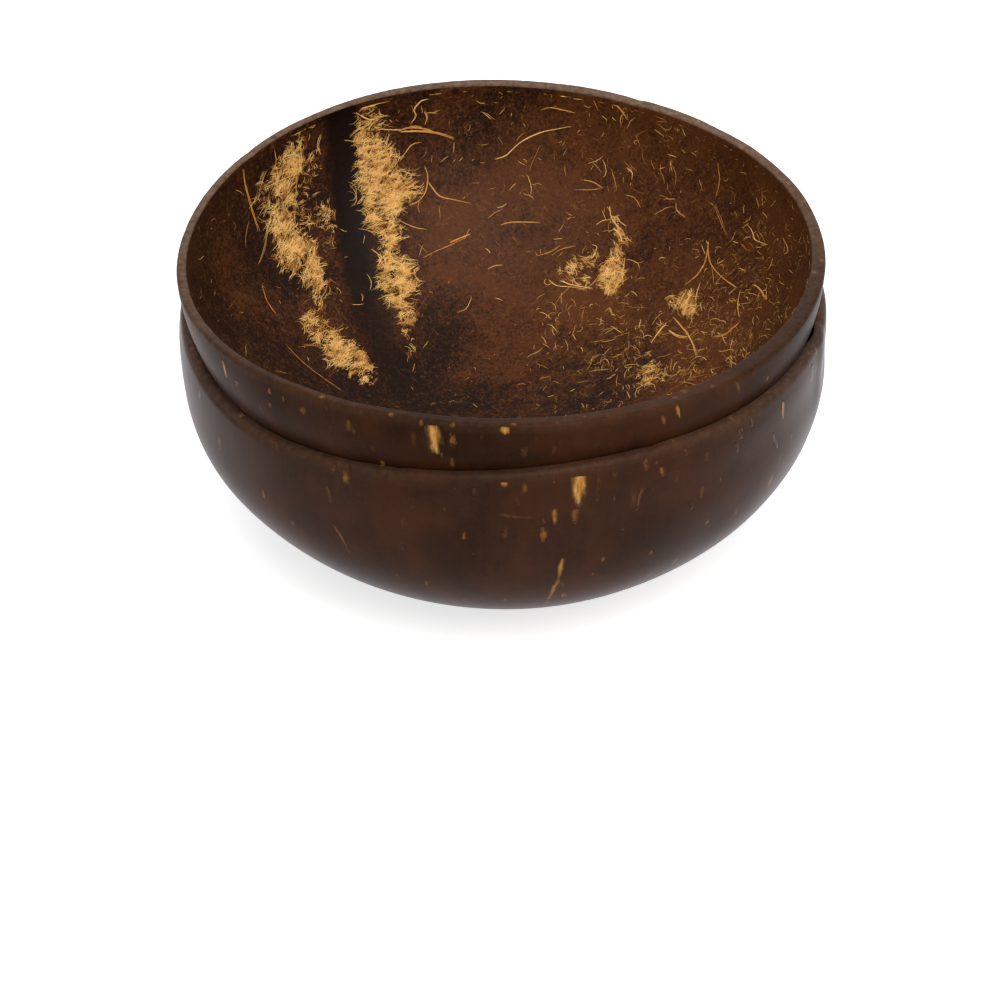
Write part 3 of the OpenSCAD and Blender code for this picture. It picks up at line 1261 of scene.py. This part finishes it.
def fleck_material(name, gloss):
    """Fibres cut flush by the polish: golden in the middle, fading into the shell's own colour."""
    material, tree, shader, where = new_material(name, POLISH_ROUGHNESS, *gloss)
    shell, height = polished_colour(tree, where)
    uneven = centred(tree, noise(tree, stretched(tree, where, (1, 1, 0.2)), 1100, 3, 0.6))
    given = read_attribute(tree, "tone")
    tone = plus(tree, times(tree, given, 0.32), times(tree, uneven, 0.8))
    colour = fibre_colour(tree, where, plus(tree, tone, 0.20))
    share = plus(tree, read_attribute(tree, "middle"), times(tree, uneven, 0.9))
    share = maths(tree, "POWER", spread(tree, share, 0.0, 0.85), 1.8)
    strength = maths(tree, "POWER", spread(tree, given, 0.0, 1.0), 1.8)
    share = times(tree, share, times(tree, strength, 0.60))
    tree.links.new(blend_colours(tree, share, shell, colour), shader.inputs["Base Color"])
    add_bump(tree, shader, height, *POLISH_BUMP)
    return material


def fibrous_inside_material(name):
    """Inside of the upper bowl: chocolate brown with fine hairs, felt bands and the dark groove."""
    look = settings().shell
    material, tree, shader, where = new_material(name, roughness=0.50, gloss=0.10)
    # The lift follows the inside's tone, with its painted shade at the back near the rim
    base = place_group(tree, "Shell Mottling", where, Dark=look.inside_dark, Warm=look.inside_warm,
                       Clouds=0.85, Grain=1.2, Streaks=0.2,
                       Lift=spread(tree, read_attribute(tree, "warmth_and_painted_shade"), 0, 1, -0.15, 0.16))
    fine = place_group(tree, "Fine Hairs", where, Scale=230.0, Width=0.016, Amount=0.56)
    finer = place_group(tree, "Fine Hairs", where, Scale=520.0, Width=0.035, Amount=0.55)
    hair = plus(tree, times(tree, fine["Mask"], 0.34), times(tree, finer["Mask"], 0.22), clamp=True)
    hair = times(tree, hair, spread(tree, read_attribute(tree, "hairy"), 0, 0.8, 0.25, 1.0))
    colour = blend_colours(
        tree, hair, base["Color"], fibre_colour(tree, where, noise(tree, where, 180, 2)))
    uneven = centred(tree, noise(tree, where, 260, 4, 0.6))
    groove = plus(tree, read_attribute(tree, "groove"), times(tree, uneven, 0.6))
    colour = blend_colours(tree, spread(tree, groove, 0.0, 0.85, 0.0, 0.95), colour, look.groove)
    tufts = noise(tree, stretched(tree, where, (1, 1, 0.6)), 900, 4, 0.75, 0.6)
    ragged = times(tree, centred(tree, tufts), 2.4)
    felt = spread(tree, plus(tree, read_attribute(tree, "felt"), ragged), 0.70, 1.15)
    felt_tone = plus(tree, noise(tree, where, 150, 3, 0.6), times(tree, tufts, 0.3))
    felt_tone = maths(tree, "SUBTRACT", felt_tone, 0.15)
    felt_colour = fibre_colour(tree, where, felt_tone)
    colour = blend_colours(tree, times(tree, felt, 0.50), colour, felt_colour)
    tree.links.new(colour, shader.inputs["Base Color"])
    height = plus(tree, times(tree, base["Height"], 0.6), times(tree, hair, 0.8))
    height = plus(tree, height, times(tree, felt, 1.5))
    add_bump(tree, shader, height, distance=0.0002, strength=0.7)
    return material


def smooth_inside_material(name):
    """Inside of the lower bowl: the same brown shell, scraped clean, with a few fine hairs."""
    look, fibre = settings().shell, settings().fibre
    material, tree, shader, where = new_material(name, roughness=0.50, gloss=0.12)
    base = place_group(tree, "Shell Mottling", where, Dark=look.inside_dark, Warm=look.inside_warm,
                       Clouds=0.5, Grain=0.6, Streaks=0.3)
    fine = place_group(tree, "Fine Hairs", where, Scale=360.0, Width=0.03, Amount=0.55)
    colour = blend_colours(tree, times(tree, fine["Mask"], 0.4), base["Color"], fibre.gold)
    tree.links.new(colour, shader.inputs["Base Color"])
    add_bump(tree, shader, base["Height"], distance=0.0001, strength=0.6)
    return material


def fibre_material(name):
    """Dry husk fibre: each strand has its own tone between rust, gold and straw."""
    found = bpy.data.materials.get(name)
    if found:
        return found
    material, tree, shader, where = new_material(name, roughness=0.50, gloss=0.12)
    colour = fibre_colour(tree, where, read_attribute(tree, "tone"))
    tree.links.new(colour, shader.inputs["Base Color"])
    return material


def strand_faces(strands, rings, sides):
    """Faces of many closed tubes: quads round each, and a triangle fan at each end."""
    side = np.arange(sides)
    following = (side + 1) % sides
    ring = np.arange(rings - 1)[:, None] * sides
    tube = np.stack([ring + side, ring + following, ring + sides + following, ring + sides + side], -1)
    start = np.arange(strands)[:, None, None] * rings * sides
    quads = (start + tube.reshape(1, -1, 4)).reshape(-1, 4)
    fan = np.arange(1, sides - 1)
    first = np.stack([0 * fan, fan + 1, fan], -1)
    last = np.stack([0 * fan, fan, fan + 1], -1) + (rings - 1) * sides
    ends = (start + np.concatenate([first, last])[None]).reshape(-1, 3)
    return quads, ends


def strand_mesh(name, centres, normals, widths, heights, lifts, tones, sides=3, curve=0.0):
    """Many tapered closed tubes. Each ring is an ellipse across the centre line: its width lies along
    the surface and its height along the surface's normal, and the lift raises its centre. With a
    curve, one over a radius, the ring sinks by the square of its offset times half the curve. The
    attribute tone is a strand's own, and middle is highest along its top and falls to its sides and
    ends."""
    forward = unit(np.gradient(centres, axis=1))
    across = unit(np.cross(forward, normals))
    axis = centres + normals * lifts[..., None]
    turn = np.pi / 2 + 2 * np.pi * np.arange(sides) / sides
    ring = (
        across[:, :, None] * (np.cos(turn) * widths[..., None])[..., None]
        + normals[:, :, None] * (np.sin(turn) * heights[..., None])[..., None]) / 2
    sunk = (np.cos(turn) * widths[..., None] / 2) ** 2 * curve / 2
    points = axis[:, :, None] + ring - normals[:, :, None] * sunk[..., None]
    strands, rings = centres.shape[:2]
    quads, triangles = strand_faces(strands, rings, sides)
    piece = closed_mesh(name, points.reshape(-1, 3), quads, triangles)
    if sides == 3:
        piece.data.shade_flat()
    store(piece, "tone", np.broadcast_to(tones[:, None, None], points.shape[:3]).ravel())
    share = np.linspace(0, 1, rings)[:, None]
    middle = np.where(np.sin(turn) > 0, 1 - np.abs(np.cos(turn)), 0)
    middle = middle * (4 * share * (1 - share)) ** 0.5 * (1 - 0.35 * share)
    store(piece, "middle", np.broadcast_to(middle, points.shape[:3]).ravel())
    return piece


def taper(count, blunt):
    """Width share along a strand: fine at both ends, with blunter ends for a higher value."""
    share = np.linspace(0, 1, count)
    return 0.18 + 0.82 * np.sin(np.pi * share) ** (1 / blunt)


def picture_heading(points, normals, headings):
    """Unit directions along the surface that show at given headings in the photograph. A direction
    in the picture's plane is slid along the view until it lies in the surface."""
    camera = camera_frame()
    flat = np.cos(headings)[:, None] * camera.right + np.sin(headings)[:, None] * camera.up
    view = unit(points - camera.place)
    steep = (view * normals).sum(-1)
    steep = np.where(steep < 0, -1, 1) * np.maximum(np.abs(steep), 0.35)
    slide = -(flat * normals).sum(-1) / steep
    along_surface = flat + slide[:, None] * view
    return unit(along_surface - normals * (along_surface * normals).sum(-1, keepdims=True))


def crawl(starts, headings, bends, step):
    """Centre lines that creep over the upper bowl's inside in equal steps, from starts towards their
    headings in the picture. The direction turns by a bend at each step, and each new point is brought
    back to the inside's own ellipsoid by scaling about the mouth's centre."""
    form = upper_form()
    centre = np.array([0, 0, form.rim_z])
    radii = form.inner_radii
    here = starts - centre
    normal = unit(-here / radii**2)
    forward = picture_heading(starts, normal, headings)
    line = [here]
    for bend in bends.T:
        here = here + forward * step[:, None]
        here = here / np.linalg.norm(here / radii, axis=1, keepdims=True)
        normal = unit(-here / radii**2)
        forward = unit(forward - normal * (forward * normal).sum(-1, keepdims=True))
        side = np.cross(normal, forward)
        forward = np.cos(bend)[:, None] * forward + np.sin(bend)[:, None] * side
        line.append(here)
    return np.stack(line, 1) + centre


def on_inside(points):
    """Points brought to the real inside with its relief, below the rim, with the normals there."""
    azimuth, fall = inside_place(points)
    return upper_inside(azimuth, np.maximum(fall, np.radians(STRAND_TOP)))


def laid_strands(name, points, widths, lifts, tones, blunt=2.0):
    """Strands laid on the inside along given centre lines, from arrays of places and sizes."""
    count = points.shape[1]
    centres, normals = on_inside(points)
    width = widths[:, None] * taper(count, blunt)
    height = STRAND_FLATNESS * width
    bow = np.sin(np.pi * np.linspace(0, 1, count))
    lift = 0.3 * height + lifts[:, None] * bow
    return strand_mesh(name, centres, normals, width, height, lift, tones)


def felt_starts(path, rng):
    """Starting pixels, headings, levels, the path's half width and a lighter or darker shade of a
    path's tufts: even over its width, then kept where the felt is thick."""
    line = along(path, START_POINTS)
    pixel = settings().stage.distance / camera_frame().focal * CM_IN_METRE
    length = np.linalg.norm(np.diff(line[:, :2], axis=0), axis=1).sum()
    area = 2 * FELT_REACH * line[:, 2].mean() * length * pixel**2 * FELT_SLOPE
    count = int(area * settings().fibre.band_count / TUFT_STRANDS)
    chosen = rng.choice(len(line), count, p=line[:, 2] / line[:, 2].sum())
    reach = FELT_REACH * line[chosen, 2] * np.sqrt(rng.random(count))
    angle = rng.uniform(0, 2 * np.pi, count)
    pixels = line[chosen, :2] + np.stack([reach * np.cos(angle), reach * np.sin(angle)], 1)
    level, nearest = felt_level(pixels, path)
    kept = rng.random(count) < level + 0.02
    shade = streaks(pixels, np.radians(55), 14, 4.5, SEEDS.band_shade)
    return pixels[kept], np.radians(nearest[kept, 4]), level[kept], nearest[kept, 2], shade[kept]


def band_strands(name, paths, seed):
    """Strands of one felt band or of some patches, in combed tufts: the strands of a tuft share its
    start, heading, length and bend, each with a little of its own, and some tufts lie across the
    others. The starts are drawn in the photograph's pixels, so that each lies on the inside where it
    shows."""
    rng = np.random.default_rng(seed)
    found = [felt_starts(path, rng) for path in paths]
    starts, headings, level, half, shade = (np.concatenate(part) for part in zip(*found))
    tufts, steps = len(starts), STRAND_STEPS
    length = rng.gamma(4.0, 0.68, tufts) * np.clip(half / FULL_HALF_WIDTH, 0.5, 1)
    crossing = rng.random(tufts) < 0.15
    headings = headings + rng.normal(0, 0.26, tufts) * np.where(crossing, 4, 1)
    headings = headings + np.pi * (rng.random(tufts) < 0.4)
    turn = rng.normal(0, 0.22, (tufts, 1)) + rng.normal(0, 0.12, (tufts, steps))
    lift = rng.gamma(1.5, 0.10, tufts)
    owner = np.repeat(np.arange(tufts), TUFT_STRANDS)
    count = len(owner)
    starts = starts[owner] + rng.normal(0, 1.2, (count, 2))
    headings = headings[owner] + rng.normal(0, 0.14, count)
    length = length[owner] * rng.uniform(0.5, 1.2, count) * MM
    back = 0.5 * length / settings().stage.distance * camera_frame().focal
    starts = starts - back[:, None] * np.stack([np.cos(headings), -np.sin(headings)], 1)
    turn = turn[owner] + rng.normal(0, 0.09, (count, steps))
    lines = crawl(inside_at(starts), headings, turn, length / steps)
    widths = rng.uniform(0.05, 0.13, count) * MM
    lifts = lift[owner] * rng.uniform(0.3, 1.2, count) * MM
    tones = 0.26 + 0.62 * level[owner] + 0.95 * shade[owner] + rng.normal(0, 0.28, count)
    tones = np.clip(tones, 0, 1)
    return laid_strands(name, lines, widths, lifts, tones)


def scattered_hairs(name, count, length, width, tone, seed):
    """Hairs at random over the inside, gathered where hair_share is high, with a mean length and a
    widest width in millimetres and a mean tone. The headings drift slowly from place to place."""
    rng = np.random.default_rng(seed)
    many = 16 * count
    azimuth = rng.uniform(-np.pi, np.pi, many)
    fall = np.arcsin(rng.uniform(0.03, 1, many))
    points = upper_inside(azimuth, fall, relief=False)[0]
    chosen = np.flatnonzero(rng.random(many) < hair_share(points))[:count]
    count, steps = len(chosen), STRAND_STEPS
    lengths = rng.gamma(3.0, length / 3, count) * MM
    turn = 0.10 * rng.standard_t(3, count)[:, None] + rng.normal(0, 0.16, (count, steps))
    drift = ripple(points[chosen], 45 * MM, SEEDS.hair_headings)
    headings = 1.0 + 2.4 * drift + rng.normal(0, 0.7, count)
    lines = crawl(points[chosen], headings, turn, lengths / steps)
    widths = width * rng.uniform(0.4, 1.0, count) * MM
    lifts = rng.gamma(1.2, 0.08, count) * MM
    tones = np.clip(rng.normal(tone, 0.28, count), 0, 1)
    return laid_strands(name, lines, widths, lifts, tones)


def hair_share(points):
    """Chance of a hair at a point of the inside, from 0 to 1: a little everywhere, less at the left,
    and bell curves over the clusters of the picture."""
    across = points[..., 0] / upper_form().inner_r
    share = 0.03 + 0.09 * ease((across + 0.60) / 1.1)
    pixels = photo_pixels(points)
    for x, y, wide, high, density in HAIR_CLUSTERS:
        away = ((pixels[..., 0] - x) / wide) ** 2 + ((pixels[..., 1] - y) / high) ** 2
        share = share + density * np.exp(-away) * faces_camera(points)
    share = share * (0.8 + 0.6 * ripple(points, 11 * MM, SEEDS.hair_places))
    return np.clip(share * (1 - 0.95 * groove_depth(points)), 0.01, 1)


def named_strands(name, strands, seed, copies):
    """Long strands along pixel lines, each split into some thinner ones that run side by side."""
    rng = np.random.default_rng(seed)
    lines, widths, tones = [], [], []
    for width, tone, *pixels in strands:
        line = smooth_line(pixels, LONG_STRAND_POINTS)
        for _ in range(copies):
            wander = np.cumsum(rng.normal(0, 0.12, line.shape), 0)
            wander = wander + rng.normal(0, 0.15 * width, (1, 2))
            lines.append(line + 0.8 * wander)
            widths.append(0.075 * MM * width * rng.uniform(0.55, 0.9))
            tones.append(tone - 0.1 + rng.normal(0, 0.12))
    points = inside_at(np.array(lines))
    widths = np.array(widths)
    lifts = rng.gamma(1.5, 0.12, len(widths)) * MM
    return laid_strands(name, points, widths, lifts, np.clip(tones, 0, 1), blunt=2.6)


def named_flecks(form, flecks, rng):
    """Azimuths, heights, width and tone of each fleck that the photograph shows. Its line runs between
    two named pixels and wanders a little."""
    share = np.linspace(0, 1, FLECK_POINTS)[:, None]
    found = []
    for width, tone, start, end in flecks:
        line = np.array(start) + (np.array(end) - start) * share
        line = line + np.cumsum(rng.normal(0, 0.25, line.shape), 0)
        place = seen_at(line, form.radius, form.depth, form.wide_z, form.fullness, False)
        found.append((azimuth_of(place), place[:, 2], 0.12 * MM * width, tone))
    return found


def random_flecks(form, rng):
    """Azimuths, heights, width and tone of each random fleck on the back of a bowl. Its line leans a
    little."""
    share = np.linspace(0, 1, FLECK_POINTS)
    found = []
    for _ in range(RANDOM_FLECKS):
        length = rng.gamma(3.0, 0.35) * MM
        lean = rng.normal(0, 0.25)
        low = form.foot_z + (form.rim_z - form.foot_z) * rng.uniform(0.12, 0.9)
        place = rng.uniform(0.05, 1.05) * np.pi
        azimuth = place + length * np.sin(lean) * share / form.radius
        height = low + length * np.cos(lean) * share
        found.append((azimuth, height, rng.uniform(0.8, 2.1) * MM, rng.uniform(0.05, 0.45)))
    return found


def below_rim(height, top, edge):
    """Heights of flecks, of which those that would pass the rim's top are moved down and shortened.
    A tenth of the edge radius stays free, and six tenths of a fleck's length are kept."""
    high, low = height.max(1, keepdims=True), height.min(1, keepdims=True)
    limit = np.minimum(high, top.min(1, keepdims=True) - 0.10 * edge)
    span = np.maximum(limit - low, 0.6 * (high - low))
    return limit - (high - height) * span / (high - low)


def flush_flecks(name, form, outside, waves, flecks):
    """Flat streaks in a polished outside: those at named pixels, and some at random on the back.
    Where the rim's edge is rounded, a streak follows its quarter circle inwards."""
    rng = np.random.default_rng(FLECK_SEED)
    found = named_flecks(form, flecks, rng) + random_flecks(form, rng)
    azimuth, height, widths, tones = (np.array(part) for part in zip(*found))
    top = form.rim_z + around(azimuth, waves)
    height = below_rim(height, top, form.edge)
    small = 1e-4
    centres = outside(azimuth, height)
    round_step = outside(azimuth + small, height) - centres
    up_step = outside(azimuth, height + small * form.radius) - centres
    normals = unit(np.cross(round_step, up_step))
    climb = np.clip((height - top) / form.edge + 1, 0, 1)
    inset = form.edge * (1 - np.sqrt(1 - climb**2))
    centres = centres - turned(azimuth, inset, 0)
    share = np.linspace(0, 1, FLECK_POINTS)
    width = widths[:, None] * taper(FLECK_POINTS, blunt=5.0) * (1 - 0.3 * share)
    thick = np.full(width.shape, FLECK_THICKNESS)
    lift = np.full(width.shape, -FLECK_SINK)
    return strand_mesh(
        name, centres, normals, width, thick, lift, tones,
        sides=FLECK_SIDES, curve=1 / form.radius)


def side_rings(form, outside, wave):
    """Rings up a shell's outer wall, from its foot to one edge radius below its rim. The rim's wave
    fades out downwards with the fourth power of the height."""
    edge_z = form.rim_z - form.edge
    base = even_heights(lambda z: outer_radius(form, z), form.foot_z, edge_z, SIDE_ROWS)[:, None]
    climb = (base - form.foot_z) / (form.rim_z - form.foot_z)
    side = outside(AZIMUTHS[None], base + wave * climb**4)
    side[0, :, 2] = form.foot_z + SIDE_RING_RISE * settings().sizes.foot_edge
    return side


def all_rings(form, side, inside, wave):
    """All rings of a shell in order: its foot, its outer wall, over its rim and down inside."""
    foot = foot_rings(side[0], form.foot_z, settings().sizes.foot_edge)
    rim = rim_rings(form, side[-1], inside[0], form.rim_z + wave)
    return np.concatenate([foot, side, rim[:-1], inside])


def upper_rings():
    """Rings of the upper bowl and the middle points of its foot and its floor."""
    form = upper_form()
    nicks = rim_unevenness(AZIMUTHS, SEEDS.upper_rim)
    wave = around(AZIMUTHS, UPPER_RIM_WAVE) + nicks
    fall_edge = np.arcsin(form.inner_edge / form.inner_depth)
    fall = np.linspace(fall_edge, np.pi / 2, INSIDE_ROWS + 1)[:-1, None]
    inside = upper_inside(AZIMUTHS[None], fall)[0]
    inside[..., 2] += nicks * np.cos(fall) ** NICK_FADE
    rings = all_rings(form, side_rings(form, upper_outside, wave), inside, wave)
    floor = upper_inside(np.array(0.0), np.array(np.pi / 2))[0]
    return rings, [0, 0, form.foot_z], floor


def lower_rings():
    """Rings of the lower bowl, whose rim follows the upper bowl's wall round its waves, and the
    middle points of its foot and its floor."""
    form = lower_form()
    wave = around(AZIMUTHS, LOWER_RIM_WAVE) + rim_unevenness(AZIMUTHS, SEEDS.lower_rim)
    floor_z = form.wide_z - form.inner_depth
    top_z = form.rim_z - form.inner_edge
    down = even_heights(lambda z: inner_radius(form, z), floor_z, top_z, INSIDE_ROWS + 1)[:0:-1, None]
    climb = (down - floor_z) / (form.rim_z - floor_z)
    height = down + wave * climb**4
    radius = inner_radius(form, height) * lower_scale(AZIMUTHS[None], height)
    below = ease((form.wide_z - height) / (8 * MM))
    sway = lower_sway(AZIMUTHS, height) * below[..., None]
    inside = turned(AZIMUTHS, radius, height) + sway
    rings = all_rings(form, side_rings(form, lower_outside, wave), inside, wave)
    return rings, [0, 0, form.foot_z], [0, 0, floor_z]


def settle(piece, body, slot, *nodes):
    """Says which body a piece rides on and which nodes it replaces. The slot is not used."""
    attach(piece, body)
    if nodes:
        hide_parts(*nodes)


def settle_fibres(piece):
    """Gives strands the husk fibre's material, and lets them ride on the upper bowl."""
    piece.data.materials.append(fibre_material("husk_fibre"))
    settle(piece, "upper_bowl", "husk_fibre")


class COCONUT_OT_lower_shell(Operator):
    """Make the lower bowl's shell, closed all round, with its cut rim and clean inside"""
    bl_idname = "coconut.lower_shell"
    bl_label = "Lower Shell"

    def execute(self, context):
        rings, foot, floor = lower_rings()
        piece = turned_shell("lower_shell_body", rings, foot, floor)
        outside = polished_material("lower_polish", LOWER_GLOSS)
        # The lower rim is drawn paler at the left and the right: painted light on the lip where the upper
        # bowl shades it
        rim_pale_and_lit = 0.10 + 0.26 * np.cos(azimuth_of(rings)) ** 2
        section_slots(piece, rings, outside, smooth_inside_material("lower_inside"), rim_pale_and_lit)
        settle(piece, "lower_bowl", "lower_shell", "lower_bowl")
        return {"FINISHED"}


class COCONUT_OT_upper_shell(Operator):
    """Make the upper bowl's shell, with the groove and the felt's relief on its inside"""
    bl_idname = "coconut.upper_shell"
    bl_label = "Upper Shell"

    def execute(self, context):
        rings, foot, floor = upper_rings()
        piece = turned_shell("upper_shell_body", rings, foot, floor)
        points = np.concatenate([[foot], rings.reshape(-1, 3), [floor]])
        store(piece, "felt", felt_cover(points))
        store(piece, "groove", groove_depth(points))
        store(piece, "hairy", hair_share(points))
        # The inside's tone, with painted shade at the back near the rim
        store(piece, "warmth_and_painted_shade", warmth_and_painted_shade(points))
        outside = polished_material("upper_polish", UPPER_GLOSS)
        # The upper rim is drawn paler towards the back left: a painted highlight
        rim_pale_and_lit = 0.10 + ease(0.5 + 0.6 * np.cos(azimuth_of(rings) - RIM_HIGHLIGHT_AZIMUTH))
        section_slots(piece, rings, outside, fibrous_inside_material("upper_inside"), rim_pale_and_lit)
        settle(piece, "upper_bowl", "upper_shell", "upper_bowl")
        return {"FINISHED"}


class COCONUT_OT_fibre_bands(Operator):
    """Lay the dense felt bands and patches of husk fibre on the upper bowl's inside"""
    bl_idname = "coconut.fibre_bands"
    bl_label = "Fibre Bands"

    def execute(self, context):
        seed = settings().fibre.seed
        for number, (name, paths) in enumerate(BANDS.items()):
            settle_fibres(band_strands(name, paths, seed + number))
        return {"FINISHED"}


class COCONUT_OT_loose_hairs(Operator):
    """Scatter fine and loose hairs over the upper bowl's inside"""
    bl_idname = "coconut.loose_hairs"
    bl_label = "Loose Hairs"

    def execute(self, context):
        look = settings().fibre
        for name, count, length, width, tone, seed_step in (
            ("fine_hairs", look.fine_count, 1.3, 0.10, 0.30, 10),
            ("loose_hairs", look.loose_count, 2.2, 0.16, 0.58, 11),
        ):
            settle_fibres(scattered_hairs(name, count, length, width, tone, look.seed + seed_step))
        return {"FINISHED"}


class COCONUT_OT_long_strands(Operator):
    """Lay the long single strands and the golden tuft on the upper bowl's inside"""
    bl_idname = "coconut.long_strands"
    bl_label = "Long Strands"

    def execute(self, context):
        for name, strands, copies, seed_step in (
            ("long_strands", LONG_STRANDS, 2, 20),
            ("golden_tuft", GOLDEN_TUFT, 5, 20),
        ):
            seed = settings().fibre.seed + seed_step
            settle_fibres(named_strands(name, strands, seed, copies))
        return {"FINISHED"}


class COCONUT_OT_polished_flecks(Operator):
    """Set the golden flecks flush in both polished outsides"""
    bl_idname = "coconut.polished_flecks"
    bl_label = "Polished Flecks"

    def execute(self, context):
        for name, form, outside, waves, flecks, gloss in (
            ("lower", lower_form(), lower_outside, LOWER_RIM_WAVE, LOWER_FLECKS, LOWER_GLOSS),
            ("upper", upper_form(), upper_outside, UPPER_RIM_WAVE, UPPER_FLECKS, UPPER_GLOSS),
        ):
            piece = flush_flecks(name + "_flecks", form, outside, waves, flecks)
            piece.data.materials.append(fleck_material(name + "_flecks", gloss))
            settle(piece, name + "_bowl", name + "_shell")
        return {"FINISHED"}


def seen_directly(tree):
    """1 on rays from the camera and on rays by gloss or through glass, else 0."""
    light = tree.nodes.new("ShaderNodeLightPath").outputs
    seen = maths(tree, "MAXIMUM", light["Is Camera Ray"], light["Is Glossy Ray"])
    return maths(tree, "MAXIMUM", seen, light["Is Transmission Ray"])


def floor_material():
    """Pale floor that keeps the object's shadow and looks white to the camera."""
    material, tree, shader, _ = new_material("pale_floor", roughness=0.9, gloss=0.0)
    shader.inputs["Base Color"].default_value = (0.86, 0.87, 0.89, 1)
    shader.inputs["Emission Color"].default_value = (1, 1, 1, 1)
    glow = times(tree, seen_directly(tree), settings().stage.floor_glow)
    tree.links.new(glow, shader.inputs["Emission Strength"])
    return material


def add_floor(radius):
    """A round floor at height 0: rings of a disc."""
    rings = np.array([0.1, 0.3, 0.6, 1.0]) * radius
    columns = 96
    flat = turned(2 * np.pi * np.arange(columns) / columns, 1, 0)
    points = np.concatenate([[[0, 0, 0]], (rings[:, None, None] * flat).reshape(-1, 3)])
    quads, fans = turned_faces(len(rings), columns)
    floor = closed_mesh("floor", points, quads[:, ::-1], fans[:columns, ::-1])
    floor.data.materials.append(floor_material())


def aimed(name, data, place, right, up, back):
    """A lamp or a camera at a place, with its own right, up and backward directions."""
    turn = np.stack([right, up, back], 1)
    holder = new_object(name, data)
    holder.matrix_world = Matrix.Translation(place) @ Matrix(turn.tolist()).to_4x4()
    return holder


def add_lamp(name, place, size, watts, colour):
    """A square soft lamp that faces the bowls' middle."""
    lamp = bpy.data.lights.new(name, "AREA")
    lamp.size, lamp.energy, lamp.color = size, watts, colour
    back = unit(np.array(place) - LAMP_TARGET)
    side = unit(np.cross([0, 0, 1.0], back))
    aimed(name, lamp, place, side, np.cross(back, side), back)


def set_room(strength):
    """Even white light all round, seen as plain white by the camera and by gloss."""
    world = bpy.data.worlds.new("room")
    bpy.context.scene.world = world
    world.use_nodes = True
    tree = world.node_tree
    background = tree.nodes["Background"]
    background.inputs["Color"].default_value = (1, 1, 1, 1)
    glow = times(tree, seen_directly(tree), 1 - strength)
    tree.links.new(plus(tree, glow, strength), background.inputs["Strength"])


def add_camera(stage):
    """The camera at the photograph's place, without shift or depth of field."""
    found = camera_frame()
    camera = bpy.data.cameras.new("photo_camera")
    camera.lens, camera.sensor_width = stage.lens, SENSOR_MM
    bpy.context.scene.camera = aimed(
        "photo_camera", camera, found.place, found.right, found.up, -found.forward)


class COCONUT_OT_stage(Operator):
    """Set the pale floor, the soft studio light and the camera at the photograph's view"""
    bl_idname = "coconut.stage"
    bl_label = "Stage"

    def execute(self, context):
        stage = settings().stage
        add_floor(stage.floor_radius)
        add_lamp("key_lamp", (0.14, -0.42, 0.78), size=0.8, watts=7.2, colour=(1.0, 0.97, 0.92))
        add_lamp("back_lamp", (-0.10, 0.75, 0.48), size=0.6, watts=1.8, colour=(0.95, 0.97, 1.0))
        set_room(stage.room_light)
        add_camera(stage)
        context.scene.view_settings.view_transform = "Standard"
        return {"FINISHED"}


OPERATORS = (
    COCONUT_OT_lower_shell,
    COCONUT_OT_upper_shell,
    COCONUT_OT_fibre_bands,
    COCONUT_OT_loose_hairs,
    COCONUT_OT_long_strands,
    COCONUT_OT_polished_flecks,
    COCONUT_OT_stage,
)


class COCONUT_PT_bowls(Panel):
    """Buttons for each group of pieces, and the sizes and colours"""
    bl_label = "Coconut Shell Bowls"
    bl_idname = "COCONUT_PT_bowls"
    bl_space_type = "VIEW_3D"
    bl_region_type = "UI"
    bl_category = "Coconut Bowls"

    def draw(self, context):
        for operator in OPERATORS:
            self.layout.operator(operator.bl_idname)
        for group in settings():
            box = self.layout.box()
            for name in group.__annotations__:
                box.prop(group, name)


GROUPS = {
    "bowl_sizes": BowlSizes,
    "shell_look": ShellLook,
    "fibre_look": FibreLook,
    "stage_look": StageLook,
}


def register():
    """Registers the settings, the operators and the panel."""
    for group in GROUPS.values():
        bpy.utils.register_class(group)
    for name, group in GROUPS.items():
        setattr(bpy.types.Scene, name, PointerProperty(type=group))
    for part in (*OPERATORS, COCONUT_PT_bowls):
        bpy.utils.register_class(part)


def unregister():
    """Takes away what register added."""
    for part in (COCONUT_PT_bowls, *reversed(OPERATORS)):
        bpy.utils.unregister_class(part)
    for name, group in GROUPS.items():
        delattr(bpy.types.Scene, name)
        bpy.utils.unregister_class(group)


def main():
    register()
    for operator in OPERATORS:
        group, name = operator.bl_idname.split(".")
        getattr(getattr(bpy.ops, group), name)()


if __name__ == "__main__":
    main()
